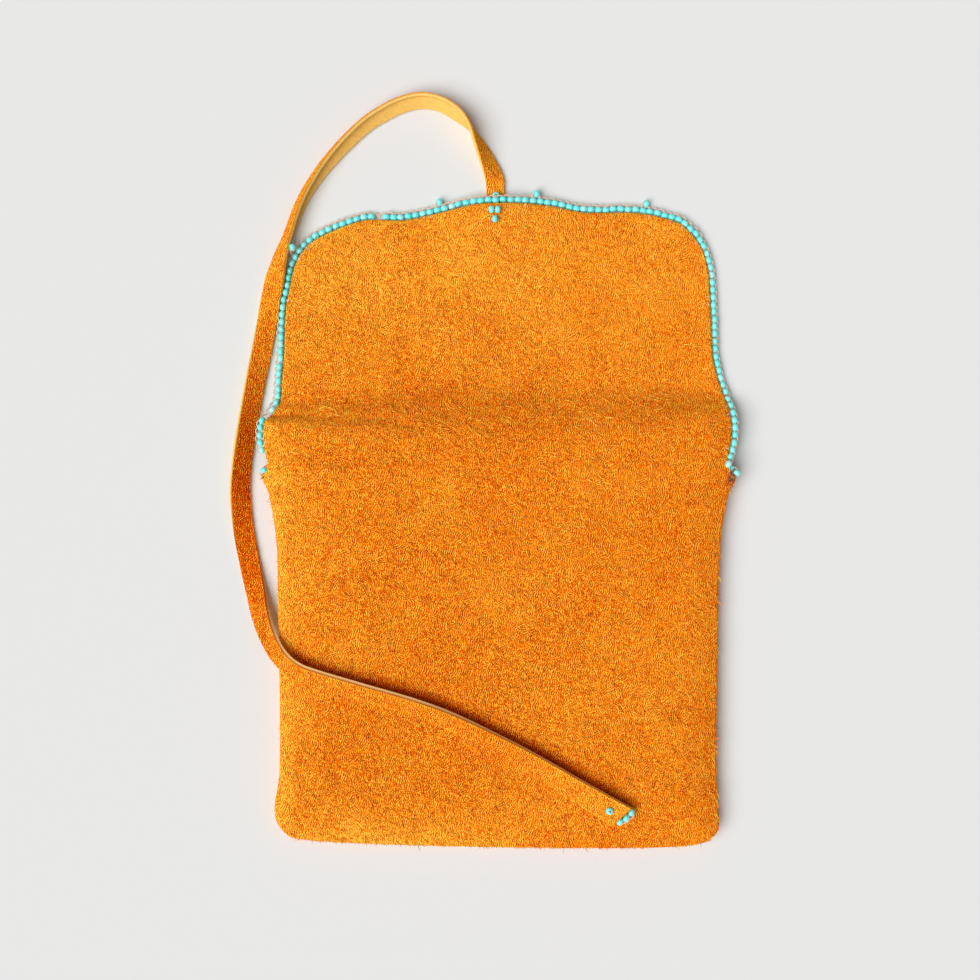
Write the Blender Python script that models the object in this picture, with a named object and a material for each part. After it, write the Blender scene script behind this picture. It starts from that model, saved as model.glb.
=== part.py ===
"""Small soft leather pouch, lying on its front with the flap opened out.

The back panel runs on past the mouth as the flap. The front panel lies under it, and the two
are joined by a turned seam at the sides and the bottom. Seed beads edge the flap and the
front panel's mouth, and a flat leather tie comes out from under the flap's tip.

Metres. +X runs across the pouch, +Y from its bottom to the flap's tip, and +Z up. The origin
is the middle of the pouch's body, on the surface that it lies on.
"""

import math

import bmesh
import bpy
import numpy as np

MM = 0.001

# Leather and its seams
LEATHER = 1.1 * MM
FOLD_GAP = 0.3 * MM
SEAM_ALLOWANCE = 4.0 * MM
CLEARANCE = 0.3 * MM

# Pouch body, lying flat
POUCH_WIDTH = 127.4 * MM
POUCH_LENGTH = 110.0 * MM
BULGE = 2.9 * MM
BULGE_REACH = 8.0 * MM
MOUTH_RISE = 6.0 * MM

# Flap, from the mouth of the pouch to the leather's edge at the tip
FLAP_WIDTH = 123.6 * MM
FLAP_LENGTH = 76.8 * MM
# The flap's drop to the surface below: its middle past the mouth and its length, at the left edge,
# in the middle and at the right edge
DROP_MIDDLE = (14.9 * MM, 16.5 * MM, 18.0 * MM)
DROP_LENGTH = (7.0 * MM, 21.0 * MM, 9.0 * MM)
TIP_LIFT_WIDTH = 13.0 * MM
TIP_LIFT_LENGTH = 16.0 * MM

# Seed beads: length is measured along the hole
BEAD_DIAMETER = 2.15 * MM
BEAD_LENGTH = 1.5 * MM
BEAD_HOLE = 0.8 * MM
BEAD_PITCH = 2.17 * MM
THREAD_HEIGHT = 0.9 * MM
PICOT_LIFT = 0.3 * MM

# Flat leather tie
TIE_WIDTH = 5.7 * MM
TIE_END_WIDTH = 7.8 * MM
TIE_WIDENING = 46.0 * MM
TIE_STATION = 4.6 * MM

# Outline of the body in half widths and half lengths, from the left of the mouth round the bottom
BODY_EDGE = (
    (-1.076, 0.966), (-1.068, 0.925), (-1.048, 0.860), (-1.012, 0.600), (-1.006, 0.250),
    (-0.998, -0.200), (-0.999, -0.600), (-1.020, -0.770), (-1.014, -0.860), (-0.978, -0.921),
    (-0.915, -0.957), (-0.700, -0.979), (-0.200, -0.998), (0.350, -1.007), (0.750, -1.003),
    (0.920, -0.982), (0.977, -0.945), (1.001, -0.885), (0.994, -0.750), (0.989, -0.500),
    (0.993, -0.100), (1.000, 0.400), (1.012, 0.650), (1.042, 0.850), (1.074, 0.925),
    (1.080, 0.966),
)
BODY_CORNERS = (9, 16)

# Outline of the flap in half widths and flap lengths, from the left of the mouth round the tip
FLAP_EDGE = (
    (-1.078, 0.010), (-1.094, 0.065), (-1.102, 0.122), (-1.092, 0.172), (-1.062, 0.204),
    (-1.037, 0.245), (-1.017, 0.330), (-1.000, 0.440), (-0.995, 0.590), (-0.983, 0.690),
    (-0.963, 0.765), (-0.925, 0.820), (-0.866, 0.864), (-0.733, 0.914), (-0.610, 0.940),
    (-0.450, 0.938), (-0.277, 0.966), (-0.110, 0.995), (0.100, 1.000), (0.270, 0.988),
    (0.400, 0.967), (0.650, 0.966), (0.825, 0.935), (0.887, 0.903), (0.946, 0.845),
    (0.980, 0.770), (0.993, 0.680), (1.000, 0.540), (1.005, 0.440), (1.020, 0.370),
    (1.052, 0.285), (1.078, 0.210), (1.088, 0.140), (1.080, 0.080), (1.060, 0.020),
)
FLAP_CORNERS = (11, 24)

# Bead edgings: where they start and end along an edge, the missing bead and the loose ones
FLAP_BEADS_SPAN = (0.018, 0.992)
MISSING_BEAD = 0.343
PICOTS = ((0.239, 16.0), (0.422, 4.0), (0.5345, -5.0), (0.664, 8.0))
# The mouth's row past its corners: out and up from the end of the front panel's mouth edge
MOUTH_ROW_START = (-1.4 * MM, 0.0 * MM)
MOUTH_ROW_END = ((-4.0 * MM, 0.0 * MM), (-1.6 * MM, 0.9 * MM), (0.1 * MM, 0.4 * MM), (0.9 * MM, -1.4 * MM))
# Beads at the tie's sewn end: across, and back from the leather's edge
ANCHOR_BEAD_ON_TIE = (-0.9 * MM, -3.3 * MM)
ANCHOR_BEADS_ON_FLAP = ((-2.2 * MM, 2.1 * MM), (-0.35 * MM, 2.1 * MM), (-1.2 * MM, 4.8 * MM))

# The tie's route in millimetres, and its roll in degrees: x, y, z, roll
TIE_ROUTE = (
    (-1.0, 126.2, 0.6, 0), (-1.0, 136.3, 0.6, 0), (-1.6, 140.0, 1.6, 20),
    (-3.3, 144.1, 2.4, 42), (-6.1, 149.9, 2.9, 64), (-8.9, 154.4, 3.1, 86),
    (-12.7, 158.0, 3.1, 104), (-17.4, 160.7, 3.0, 115), (-22.9, 161.6, 2.9, 120),
    (-29.0, 160.2, 2.9, 120), (-34.2, 157.6, 2.9, 119), (-38.7, 154.7, 2.9, 118),
    (-44.4, 149.5, 2.9, 117), (-49.8, 143.6, 3.0, 113), (-54.1, 137.9, 3.0, 106),
    (-57.4, 132.3, 3.1, 96), (-59.8, 126.7, 3.1, 80), (-61.8, 121.0, 2.8, 58),
    (-63.8, 115.0, 2.2, 34), (-66.1, 106.4, 1.3, 12), (-67.7, 97.7, 0.8, 0),
    (-69.3, 89.0, 0.9, -5), (-71.0, 80.3, 1.1, -10), (-72.6, 71.6, 1.4, -15),
    (-74.1, 62.9, 1.5, -17), (-75.2, 54.2, 1.5, -17), (-75.5, 46.5, 1.4, -15),
    (-74.6, 37.0, 1.0, -8), (-73.0, 28.1, 0.9, 3), (-71.1, 19.4, 1.9, 22),
    (-69.0, 11.2, 4.1, 34), (-66.0, 4.3, 6.2, 34), (-62.5, -0.4, 7.9, 29),
    (-58.3, -3.5, 8.8, 24), (-52.8, -5.5, 9.4, 21), (-39.3, -9.4, 9.7, 18),
    (-24.9, -13.6, 9.7, 17), (-13.5, -17.9, 9.7, 17), (-1.2, -23.9, 9.6, 16),
    (10.6, -30.4, 9.6, 14), (22.6, -37.7, 9.5, 11), (34.7, -44.9, 9.1, 8),
)
# Beads at the tie's cut end: past the end, across from its middle, height over it, hole's direction
TIE_BEADS = (
    (-3.7 * MM, -0.15 * MM, 1.75 * MM, "Z"),
    (0.95 * MM, 1.65 * MM, -0.2 * MM, "along"),
    (1.7 * MM, -0.45 * MM, 0.6 * MM, "along"),
    (2.1 * MM, -2.65 * MM, 0.6 * MM, "along"),
)

# Faces along and across the panels
BODY_ROWS = 15
FLAP_ROWS = 17
COLUMNS = 20
TURN_STEPS = 5
SAMPLES_PER_POINT = 16
BEAD_SIDES = 10

# Worked out from the sizes above
TURN_RADIUS = (LEATHER + FOLD_GAP) / 2
FRONT_HEIGHT = LEATHER / 2
FRONT_ALLOWANCE_HEIGHT = FRONT_HEIGHT + 2 * TURN_RADIUS
BACK_ALLOWANCE_HEIGHT = FRONT_ALLOWANCE_HEIGHT + LEATHER + CLEARANCE
BACK_SEAM_HEIGHT = BACK_ALLOWANCE_HEIGHT + 2 * TURN_RADIUS
MOUTH_Y = POUCH_LENGTH / 2
FRONT_MOUTH_Y = MOUTH_Y * BODY_EDGE[0][1]
TIP_LIFT = LEATHER + 2 * CLEARANCE
FLAP_EDGE_HEIGHT = BEAD_DIAMETER / 2 + 0.03 * MM
BEAD_OFFSET = BEAD_LENGTH / 2 + CLEARANCE


def smooth_path(points, first, last):
    """A dense smooth curve through all the points, cut from point first to point last."""
    points = np.array(points, float)
    before = 2 * points[0] - points[1]
    after = 2 * points[-1] - points[-2]
    padded = np.vstack([before, points, after])
    share = np.linspace(0, 1, SAMPLES_PER_POINT, endpoint=False)[:, None]
    stretches = []
    for start in range(first, last):
        a, b, c, d = padded[start : start + 4]
        bend = (2 * a - 5 * b + 4 * c - d) * share**2 + (3 * b - a - 3 * c + d) * share**3
        stretches.append(b + 0.5 * ((c - a) * share + bend))
    stretches.append(points[last][None, :])
    return np.vstack(stretches)


def lengths_along(path):
    steps = np.linalg.norm(np.diff(path[:, :2], axis=0), axis=1)
    return np.concatenate([[0.0], np.cumsum(steps)])


def at_lengths(path, lengths):
    """The points of a path at these distances along it."""
    along = lengths_along(path)
    return np.column_stack([np.interp(lengths, along, column) for column in path.T])


def at_shares(path, shares):
    return at_lengths(path, np.asarray(shares) * lengths_along(path)[-1])


def to_the_right(path):
    """Unit normals in plan, to the right of the way that a path runs."""
    along = np.gradient(path[:, :2], axis=0)
    normal = np.column_stack([along[:, 1], -along[:, 0]])
    return normal / np.linalg.norm(normal, axis=1, keepdims=True)


def crowded_ends(count):
    """Shares from 0 to 1, closer together at both ends."""
    even = np.linspace(0, 1, count + 1)
    return 0.45 * even + 0.55 * (1 - np.cos(math.pi * even)) / 2


def crowded_start(count):
    """Shares from 0 to 1, closer together at the start."""
    even = np.linspace(0, 1, count + 1)
    return 0.6 * even + 0.4 * even**1.8


def body_outline(first, last):
    size = (POUCH_WIDTH / 2, POUCH_LENGTH / 2)
    return smooth_path(np.array(BODY_EDGE) * size, first, last)


def flap_outline(first, last):
    size = (FLAP_WIDTH / 2, FLAP_LENGTH)
    return smooth_path(np.array(FLAP_EDGE) * size + (0, MOUTH_Y), first, last)


def flap_edges():
    """The flap's edge: left side going up, tip from left to right, and right side going up."""
    left_corner, right_corner = FLAP_CORNERS
    end = len(FLAP_EDGE) - 1
    rows = 1 - crowded_start(FLAP_ROWS)[::-1]
    left = at_shares(flap_outline(0, left_corner), rows)
    top = at_shares(flap_outline(left_corner, right_corner), crowded_ends(COLUMNS))
    right = at_shares(flap_outline(right_corner, end)[::-1], rows)
    return left, top, right


def body_rim():
    """Outline points and outward normals down the left side, along the bottom and up the right."""
    left_corner, right_corner = BODY_CORNERS
    down = 1 - crowded_start(BODY_ROWS)[::-1]
    left = at_shares(body_outline(0, left_corner), down)
    bottom = at_shares(body_outline(left_corner, right_corner), crowded_ends(COLUMNS))
    right = at_shares(body_outline(right_corner, len(BODY_EDGE) - 1), crowded_start(BODY_ROWS))
    rim = np.vstack([left, bottom[1:], right[1:]])
    normals = to_the_right(rim)
    normals[0], normals[-1] = (-1, 0), (1, 0)
    return rim, normals


def coons_patch(left, right, bottom, top):
    """A grid of points between four edges, with rows from the bottom and columns from the left."""
    up = at_row_shares(left, right)[:, None, None]
    across = crowded_ends(COLUMNS)[None, :, None]
    sides = (1 - across) * left[:, None, :] + across * right[:, None, :]
    ends = (1 - up) * bottom[None, :, :] + up * top[None, :, :]
    low = (1 - across) * bottom[0] + across * bottom[-1]
    high = (1 - across) * top[0] + across * top[-1]
    return sides + ends - ((1 - up) * low + up * high)


def at_row_shares(left, right):
    along = (lengths_along(left) + lengths_along(right)) / 2
    return along / along[-1]


def seam_guide(inset):
    """The seam's line in plan, carried straight on past the mouth at both ends."""
    rim, normals = body_rim()
    line = rim - normals * inset
    beyond = np.array([0, FLAP_LENGTH])
    return np.vstack([line[0] + beyond, line, line[-1] + beyond])


def distance_to(line, points):
    """The distance in plan from each point to the nearest place on a line."""
    start, step = line[:-1], np.diff(line, axis=0)
    offset = points[:, None, :] - start[None, :, :]
    share = (offset * step).sum(2) / (step**2).sum(1)
    nearest = start + np.clip(share, 0, 1)[:, :, None] * step
    return np.linalg.norm(points[:, None, :] - nearest, axis=2).min(1)


def across_flap(values, points):
    """A size that changes smoothly from the flap's left edge by its middle to its right edge."""
    left, middle, right = values
    place = np.clip(points[:, 0] / (FLAP_WIDTH / 2), -1, 1)
    return middle + (np.where(place < 0, left, right) - middle) * place**2


def back_height(points):
    """Height of the middle of the back panel's leather, over the body and along the flap."""
    swell = 1 - np.exp(-distance_to(seam_guide(BACK_RIM_INSET), points) / BULGE_REACH)
    over_body = BACK_SEAM_HEIGHT + BULGE * swell
    past = points[:, 1] - MOUTH_Y - across_flap(DROP_MIDDLE, points)
    drop = np.clip(past / across_flap(DROP_LENGTH, points) + 0.5, 0, 1)
    share = 1 - drop * drop * (3 - 2 * drop)
    from_tip = (MOUTH_Y + FLAP_LENGTH - points[:, 1]) / TIP_LIFT_LENGTH
    tip = TIP_LIFT * np.exp(-((points[:, 0] / TIP_LIFT_WIDTH) ** 2) - np.maximum(from_tip, 0) ** 2)
    return FLAP_EDGE_HEIGHT + (over_body - FLAP_EDGE_HEIGHT) * share + tip


def grid_faces(rows, columns):
    wide = columns + 1
    return [
        (row * wide + column, row * wide + column + 1,
         (row + 1) * wide + column + 1, (row + 1) * wide + column)
        for row in range(rows)
        for column in range(columns)
    ]


def rim_indices(columns, rows):
    """The grid's corners down its left side, along row 0 and up its right side, to row rows."""
    wide = columns + 1
    left = [row * wide for row in range(rows, -1, -1)]
    bottom = list(range(1, wide))
    right = [row * wide + columns for row in range(1, rows + 1)]
    return left + bottom + right


def turned_edge(points, faces, rim, allowance_height, side, tilt):
    """Adds the half turn round the seam, and the allowance that runs back in from it.

    side is 1 where the allowance lies under the panel and -1 where it lies over it, and tilt
    is the panel's slope where the turn starts.
    """
    line, normals = body_rim()
    centre = line - normals * (TURN_RADIUS + LEATHER / 2)
    middle = allowance_height + side * TURN_RADIUS
    rows = [list(rim)]
    for step in range(1, TURN_STEPS + 1):
        angle = math.pi / 2 + tilt - (math.pi + tilt) * step / TURN_STEPS
        place = centre + normals * TURN_RADIUS * math.cos(angle)
        height = middle + side * TURN_RADIUS * math.sin(angle)
        rows.append(add_points(points, place, height))
    rows.append(add_points(points, centre - normals * SEAM_ALLOWANCE, allowance_height))
    for upper, lower in zip(rows, rows[1:]):
        for i in range(len(rim) - 1):
            faces.append((upper[i], lower[i], lower[i + 1], upper[i + 1]))


def add_points(points, place, height):
    first = len(points)
    points.extend([x, y, height] for x, y in place)
    return list(range(first, len(points)))


BULGE_TILT = math.atan2(BULGE, BULGE_REACH)
BACK_RIM_INSET = TURN_RADIUS + LEATHER / 2 + TURN_RADIUS * math.sin(BULGE_TILT)
FRONT_RIM_INSET = TURN_RADIUS + LEATHER / 2


def panel_edges(inset):
    """The seamed part of a panel: left side going up, right side going up, and bottom."""
    rim, normals = body_rim()
    line = rim - normals * inset
    left = line[: BODY_ROWS + 1][::-1]
    bottom = line[BODY_ROWS : BODY_ROWS + COLUMNS + 1]
    right = line[BODY_ROWS + COLUMNS :]
    return left, right, bottom


def back_panel():
    left, right, bottom = panel_edges(BACK_RIM_INSET)
    flap_left, top, flap_right = flap_edges()
    left = np.vstack([left, flap_left])
    right = np.vstack([right, flap_right])
    plan = coons_patch(left, right, bottom, top).reshape(-1, 2)
    points = [[x, y, z] for (x, y), z in zip(plan, back_height(plan))]
    faces = grid_faces(BODY_ROWS + 1 + FLAP_ROWS, COLUMNS)
    rim = rim_indices(COLUMNS, BODY_ROWS)
    seam_height = BACK_ALLOWANCE_HEIGHT + TURN_RADIUS * (1 + math.cos(BULGE_TILT))
    for index in rim:
        points[index][2] = seam_height
    turned_edge(points, faces, rim, BACK_ALLOWANCE_HEIGHT, 1, BULGE_TILT)
    return leather_sheet("back_panel", points, faces, SUEDE)


def front_panel():
    left, right, bottom = panel_edges(FRONT_RIM_INSET)
    top = (1 - crowded_ends(COLUMNS)[:, None]) * left[-1] + crowded_ends(COLUMNS)[:, None] * right[-1]
    plan = coons_patch(left, right, bottom, top).reshape(-1, 2)
    rise = np.clip(1 - (FRONT_MOUTH_Y - plan[:, 1]) / MOUTH_RISE, 0, 1) ** 2
    height = FRONT_HEIGHT + (FLAP_EDGE_HEIGHT - FRONT_HEIGHT) * rise
    points = [[x, y, z] for (x, y), z in zip(plan, height)]
    faces = grid_faces(BODY_ROWS, COLUMNS)
    turned_edge(points, faces, rim_indices(COLUMNS, BODY_ROWS), FRONT_ALLOWANCE_HEIGHT, -1, 0)
    return leather_sheet("front_panel", points, faces, SUEDE)


def leather_sheet(name, points, faces, material):
    """A sheet of leather round a surface through its middle."""
    sheet = mesh_object(name, points, faces, material)
    thickness = sheet.modifiers.new("Thickness", "SOLIDIFY")
    thickness.thickness = LEATHER
    thickness.offset = 0
    thickness.use_even_offset = True
    return sheet


def mesh_object(name, points, faces, material):
    mesh = bpy.data.meshes.new(name)
    mesh.from_pydata([tuple(point) for point in points], [], faces)
    tidy = bmesh.new()
    tidy.from_mesh(mesh)
    bmesh.ops.recalc_face_normals(tidy, faces=tidy.faces)
    tidy.to_mesh(mesh)
    tidy.free()
    mesh.shade_smooth()
    mesh.set_sharp_from_angle(angle=math.radians(40))
    mesh.materials.append(material)
    made = bpy.data.objects.new(name, mesh)
    bpy.context.scene.collection.objects.link(made)
    return made


def loft(name, rings, material):
    """A closed solid through rings of equally many points, with flat ends."""
    count = len(rings[0])
    points = [point for ring in rings for point in ring]
    faces = []
    for start in range(0, len(points) - count, count):
        for i in range(count):
            j = (i + 1) % count
            faces.append((start + i, start + j, start + count + j, start + count + i))
    faces.append(tuple(range(count)))
    faces.append(tuple(range(len(points) - count, len(points))))
    return mesh_object(name, points, faces, material)


def bead_strand(name, path, missing, material):
    """Beads side by side on their thread, each with its hole across the path."""
    length = lengths_along(path)[-1]
    count = round(length / BEAD_PITCH)
    pitch = length / count
    stations = []
    for bead in range(count):
        left_out = any(abs((bead + 0.5) / count - share) < 0.5 / count for share in missing)
        stations.append((bead * pitch, False))
        stations.append(((bead + 0.26) * pitch, not left_out))
        stations.append(((bead + 0.74) * pitch, not left_out))
    stations.append((length, False))
    places = at_lengths(path, [station for station, _ in stations])
    sideways = to_the_right(places)
    rings = []
    for place, side, (_, full) in zip(places, sideways, stations):
        across = side * (BEAD_LENGTH / 2 if full else THREAD_HEIGHT / 3)
        up = BEAD_DIAMETER / 2 if full else THREAD_HEIGHT / 2
        x, y, z = place
        rings.append([
            (x - across[0], y - across[1], z - up),
            (x + across[0], y + across[1], z - up),
            (x + across[0], y + across[1], z + up),
            (x - across[0], y - across[1], z + up),
        ])
    return loft(name, rings, material)


def flap_bead_path():
    left, top, right = flap_edges()
    edge = np.vstack([left, top[1:], right[::-1][1:]])
    height = back_height(edge)
    plan = edge - to_the_right(edge) * BEAD_OFFSET
    path = np.column_stack([plan, height])
    return at_shares(path, np.linspace(*FLAP_BEADS_SPAN, 240))


def mouth_bead_path():
    """Straight along the front panel's mouth, and round its right corner."""
    row = FRONT_MOUTH_Y + BEAD_OFFSET
    left, right = BODY_EDGE[0][0] * POUCH_WIDTH / 2, BODY_EDGE[-1][0] * POUCH_WIDTH / 2
    plan = [(left + MOUTH_ROW_START[0], row + MOUTH_ROW_START[1])]
    plan += [(right + out, row + up) for out, up in MOUTH_ROW_END]
    return np.array([(x, y, FLAP_EDGE_HEIGHT) for x, y in plan])


def single_bead(name, place, axis, material):
    """One bead round its hole, with the hole along axis and standing at place."""
    outer, inner, half = BEAD_DIAMETER / 2, BEAD_HOLE / 2, BEAD_LENGTH / 2
    profile = (
        (inner, -half), (0.75 * outer, -half), (outer, -0.45 * half),
        (outer, 0.45 * half), (0.75 * outer, half), (inner, half),
    )
    axis = np.array(axis, float) / np.linalg.norm(axis)
    helper = np.array([0, 0, 1.0]) if abs(axis[2]) < 0.9 else np.array([1.0, 0, 0])
    first = np.cross(helper, axis)
    first /= np.linalg.norm(first)
    second = np.cross(axis, first)
    points, faces = [], []
    for side in range(BEAD_SIDES):
        angle = 2 * math.pi * side / BEAD_SIDES
        spoke = first * math.cos(angle) + second * math.sin(angle)
        points.extend(np.array(place) + spoke * radius + axis * along for radius, along in profile)
    for side in range(BEAD_SIDES):
        here, there = side * len(profile), (side + 1) % BEAD_SIDES * len(profile)
        for i in range(len(profile)):
            j = (i + 1) % len(profile)
            faces.append((here + i, here + j, there + j, there + i))
    return mesh_object(name, points, faces, material)


def picot_beads(material):
    """Single beads that stand out beyond the flap's edging, with their holes upright."""
    path = flap_bead_path()
    stand_out = BEAD_LENGTH / 2 + BEAD_DIAMETER / 2 + CLEARANCE
    for number, (share, lean) in enumerate(PICOTS, 1):
        place = at_shares(path, [share])[0]
        near = at_shares(path, [share - 0.002, share + 0.002])
        side = -to_the_right(near)[0]
        x, y = place[:2] + side * stand_out
        tilt = math.sin(math.radians(lean))
        axis = (side[0] * tilt, side[1] * tilt, math.cos(math.radians(lean)))
        height = max(place[2], BEAD_LENGTH / 2 + PICOT_LIFT)
        single_bead(f"picot_bead_{number}", (x, y, height), axis, material)


def anchor_beads(material):
    """One bead flat on the tie just past the edging, and three on edge on the flap's tip."""
    tip = MOUTH_Y + FLAP_LENGTH
    x, back = ANCHOR_BEAD_ON_TIE
    tie_top = TIE_ROUTE[0][2] * MM + LEATHER / 2
    place = (x, tip - back, tie_top + CLEARANCE + BEAD_LENGTH / 2)
    single_bead("anchor_bead_1", place, (0, 0, 1), material)
    for number, (x, back) in enumerate(ANCHOR_BEADS_ON_FLAP, 2):
        flap_top = back_height(np.array([(x, tip - back)]))[0] + LEATHER / 2
        place = (x, tip - back, flap_top + CLEARANCE + BEAD_DIAMETER / 2)
        single_bead(f"anchor_bead_{number}", place, (1, 0, 0), material)


def tie_stations():
    """Evenly spaced points and rolls along the tie's smooth centre line."""
    route = np.array(TIE_ROUTE) * (MM, MM, MM, 1)
    line = smooth_path(route, 0, len(route) - 1)
    steps = np.linalg.norm(np.diff(line[:, :3], axis=0), axis=1)
    along = np.concatenate([[0.0], np.cumsum(steps)])
    count = round(along[-1] / TIE_STATION)
    wanted = np.linspace(0, along[-1], count + 1)
    return np.column_stack([np.interp(wanted, along, column) for column in line.T])


def tie_frames():
    """Place, direction, way across and suede side at each station of the tie."""
    stations = tie_stations()
    ahead = np.gradient(stations[:, :3], axis=0)
    ahead /= np.linalg.norm(ahead, axis=1, keepdims=True)
    frames = []
    for place, direction in zip(stations, ahead):
        across = np.cross(direction, (0, 0, 1.0))
        across /= np.linalg.norm(across)
        up = np.cross(across, direction)
        roll = math.radians(place[3])
        side = across * math.cos(roll) - up * math.sin(roll)
        face = up * math.cos(roll) + across * math.sin(roll)
        frames.append((place[:3], direction, side, face))
    return frames


def tie_half_widths(count):
    """Half the tie's width at its stations: even, and wider towards the cut end."""
    from_end = np.arange(count)[::-1] * TIE_STATION
    share = np.clip(1 - from_end / TIE_WIDENING, 0, 1)
    return (TIE_WIDTH + (TIE_END_WIDTH - TIE_WIDTH) * share) / 2


def tie(material):
    rings = []
    frames = tie_frames()
    for (place, _, side, face), half in zip(frames, tie_half_widths(len(frames))):
        wide, thick = side * half, face * LEATHER / 2
        rings.append([place - wide - thick, place + wide - thick, place + wide + thick,
                      place - wide + thick])
    return loft("tie", rings, material)


def tie_beads(material):
    place, ahead, side, face = tie_frames()[-1]
    for number, (past, across, over, axis) in enumerate(TIE_BEADS, 1):
        centre = place + ahead * past + side * across + face * over
        hole = face if axis == "Z" else ahead
        single_bead(f"tie_bead_{number}", centre, hole, material)


def plain_material(name, colour, roughness):
    material = bpy.data.materials.new(name)
    material.use_nodes = True
    shader = material.node_tree.nodes["Principled BSDF"]
    shader.inputs["Base Color"].default_value = (*colour, 1)
    shader.inputs["Roughness"].default_value = roughness
    shader.inputs["Metallic"].default_value = 0
    return material


for old in list(bpy.data.objects):
    bpy.data.objects.remove(old, do_unlink=True)

SUEDE = plain_material("rust_suede", (0.82, 0.22, 0.012), 0.95)
TURQUOISE = plain_material("turquoise_glass", (0.16, 0.66, 0.66), 0.25)

back_panel()
front_panel()
bead_strand("flap_edge_beads", flap_bead_path(), (MISSING_BEAD,), TURQUOISE)
bead_strand("mouth_edge_beads", mouth_bead_path(), (), TURQUOISE)
picot_beads(TURQUOISE)
anchor_beads(TURQUOISE)
tie(SUEDE)
tie_beads(TURQUOISE)
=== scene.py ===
"""The looks of a small suede pouch that lies on its front with its flap opened out.

The two panels, the bead edgings and the flat tie are built here in full detail in the place of
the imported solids: nap, folds, bead holes, threads and cut edges. Metres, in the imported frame.
"""

import math

import bmesh
import bpy
import numpy as np
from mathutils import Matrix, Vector, noise


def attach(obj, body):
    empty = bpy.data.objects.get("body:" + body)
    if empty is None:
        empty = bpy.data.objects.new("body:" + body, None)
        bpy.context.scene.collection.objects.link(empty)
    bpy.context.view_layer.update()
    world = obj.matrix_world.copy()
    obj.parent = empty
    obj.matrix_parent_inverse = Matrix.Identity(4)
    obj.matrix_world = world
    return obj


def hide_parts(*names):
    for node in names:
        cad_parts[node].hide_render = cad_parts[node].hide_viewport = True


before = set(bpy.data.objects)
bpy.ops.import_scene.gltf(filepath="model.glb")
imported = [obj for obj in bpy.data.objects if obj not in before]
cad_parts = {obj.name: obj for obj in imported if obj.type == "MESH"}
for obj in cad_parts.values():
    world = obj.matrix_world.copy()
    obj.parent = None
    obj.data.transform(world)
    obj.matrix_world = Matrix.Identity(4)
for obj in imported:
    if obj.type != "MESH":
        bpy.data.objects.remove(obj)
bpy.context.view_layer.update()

MM = 0.001
SEED = 20

# Leather and its seams, as in the solids
LEATHER = 1.1 * MM
FOLD_GAP = 0.3 * MM
SEAM_ALLOWANCE = 4.0 * MM
CLEARANCE = 0.3 * MM

# Pouch body and flap, as in the solids
POUCH_WIDTH = 127.4 * MM
POUCH_LENGTH = 110.0 * MM
BULGE = 2.9 * MM
BULGE_REACH = 8.0 * MM
MOUTH_RISE = 6.0 * MM
FLAP_WIDTH = 123.6 * MM
FLAP_LENGTH = 76.8 * MM
# The flap's drop to the surface below: its middle past the mouth and its length, at the left edge,
# in the middle and at the right edge
DROP_MIDDLE = (14.9 * MM, 16.5 * MM, 18.0 * MM)
DROP_LENGTH = (7.0 * MM, 21.0 * MM, 9.0 * MM)
TIP_LIFT_WIDTH = 13.0 * MM
TIP_LIFT_LENGTH = 16.0 * MM

# Seed beads and thread: a bead's length is along its hole
BEAD_DIAMETER = 2.15 * MM
BEAD_LENGTH = 1.5 * MM
BEAD_HOLE = 0.8 * MM
BEAD_PITCH = 2.17 * MM
PICOT_LIFT = 0.3 * MM
THREAD_RADIUS = 0.20 * MM

# Flat leather tie
TIE_WIDTH = 5.7 * MM
TIE_END_WIDTH = 7.8 * MM
TIE_START_WIDTH = 5.1 * MM
TIE_START_REACH = 12.0 * MM
TIE_WIDENING = 46.0 * MM
TIE_END_SLANT = 1.8 * MM
TIE_END_REACH = 1.3 * MM
TIE_SLANT_REACH = 9.0 * MM
TIE_LENGTH = 0.340
TIE_STATION = 0.6 * MM

# Outline of the body in half widths and half lengths, from the left of the mouth round the bottom.
# This one and the flap's are shown up to 0.8 mm outside the solids at the left.
BODY_EDGE = (
    (-1.086, 0.966), (-1.074, 0.925), (-1.048, 0.86), (-1.012, 0.6), (-1.006, 0.25),
    (-0.998, -0.2), (-0.999, -0.6), (-1.02, -0.77), (-1.014, -0.86), (-0.978, -0.921),
    (-0.915, -0.957), (-0.7, -0.979), (-0.2, -0.998), (0.35, -1.007), (0.75, -1.003),
    (0.92, -0.982), (0.977, -0.945), (1.001, -0.885), (0.994, -0.75), (0.989, -0.5),
    (0.993, -0.1), (1.0, 0.4), (1.012, 0.65), (1.042, 0.85), (1.074, 0.925),
    (1.08, 0.966),
)
BODY_CORNERS = (9, 16)

# Outline of the flap in half widths and flap lengths, from the left of the mouth round the tip
FLAP_EDGE = (
    (-1.078, 0.01), (-1.094, 0.065), (-1.102, 0.122), (-1.092, 0.172), (-1.062, 0.204),
    (-1.031, 0.245), (-1.023, 0.33), (-1.012, 0.44), (-1.006, 0.59), (-0.984, 0.69),
    (-0.963, 0.765), (-0.925, 0.82), (-0.866, 0.864), (-0.733, 0.914), (-0.61, 0.94),
    (-0.45, 0.938), (-0.277, 0.966), (-0.11, 0.995), (0.1, 1.0), (0.27, 0.988),
    (0.4, 0.967), (0.65, 0.966), (0.825, 0.935), (0.887, 0.903), (0.946, 0.845),
    (0.98, 0.77), (0.993, 0.68), (1.0, 0.54), (1.005, 0.44), (1.02, 0.37),
    (1.052, 0.285), (1.078, 0.21), (1.088, 0.14), (1.08, 0.08), (1.06, 0.02),
)
FLAP_CORNERS = (11, 24)

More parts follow.
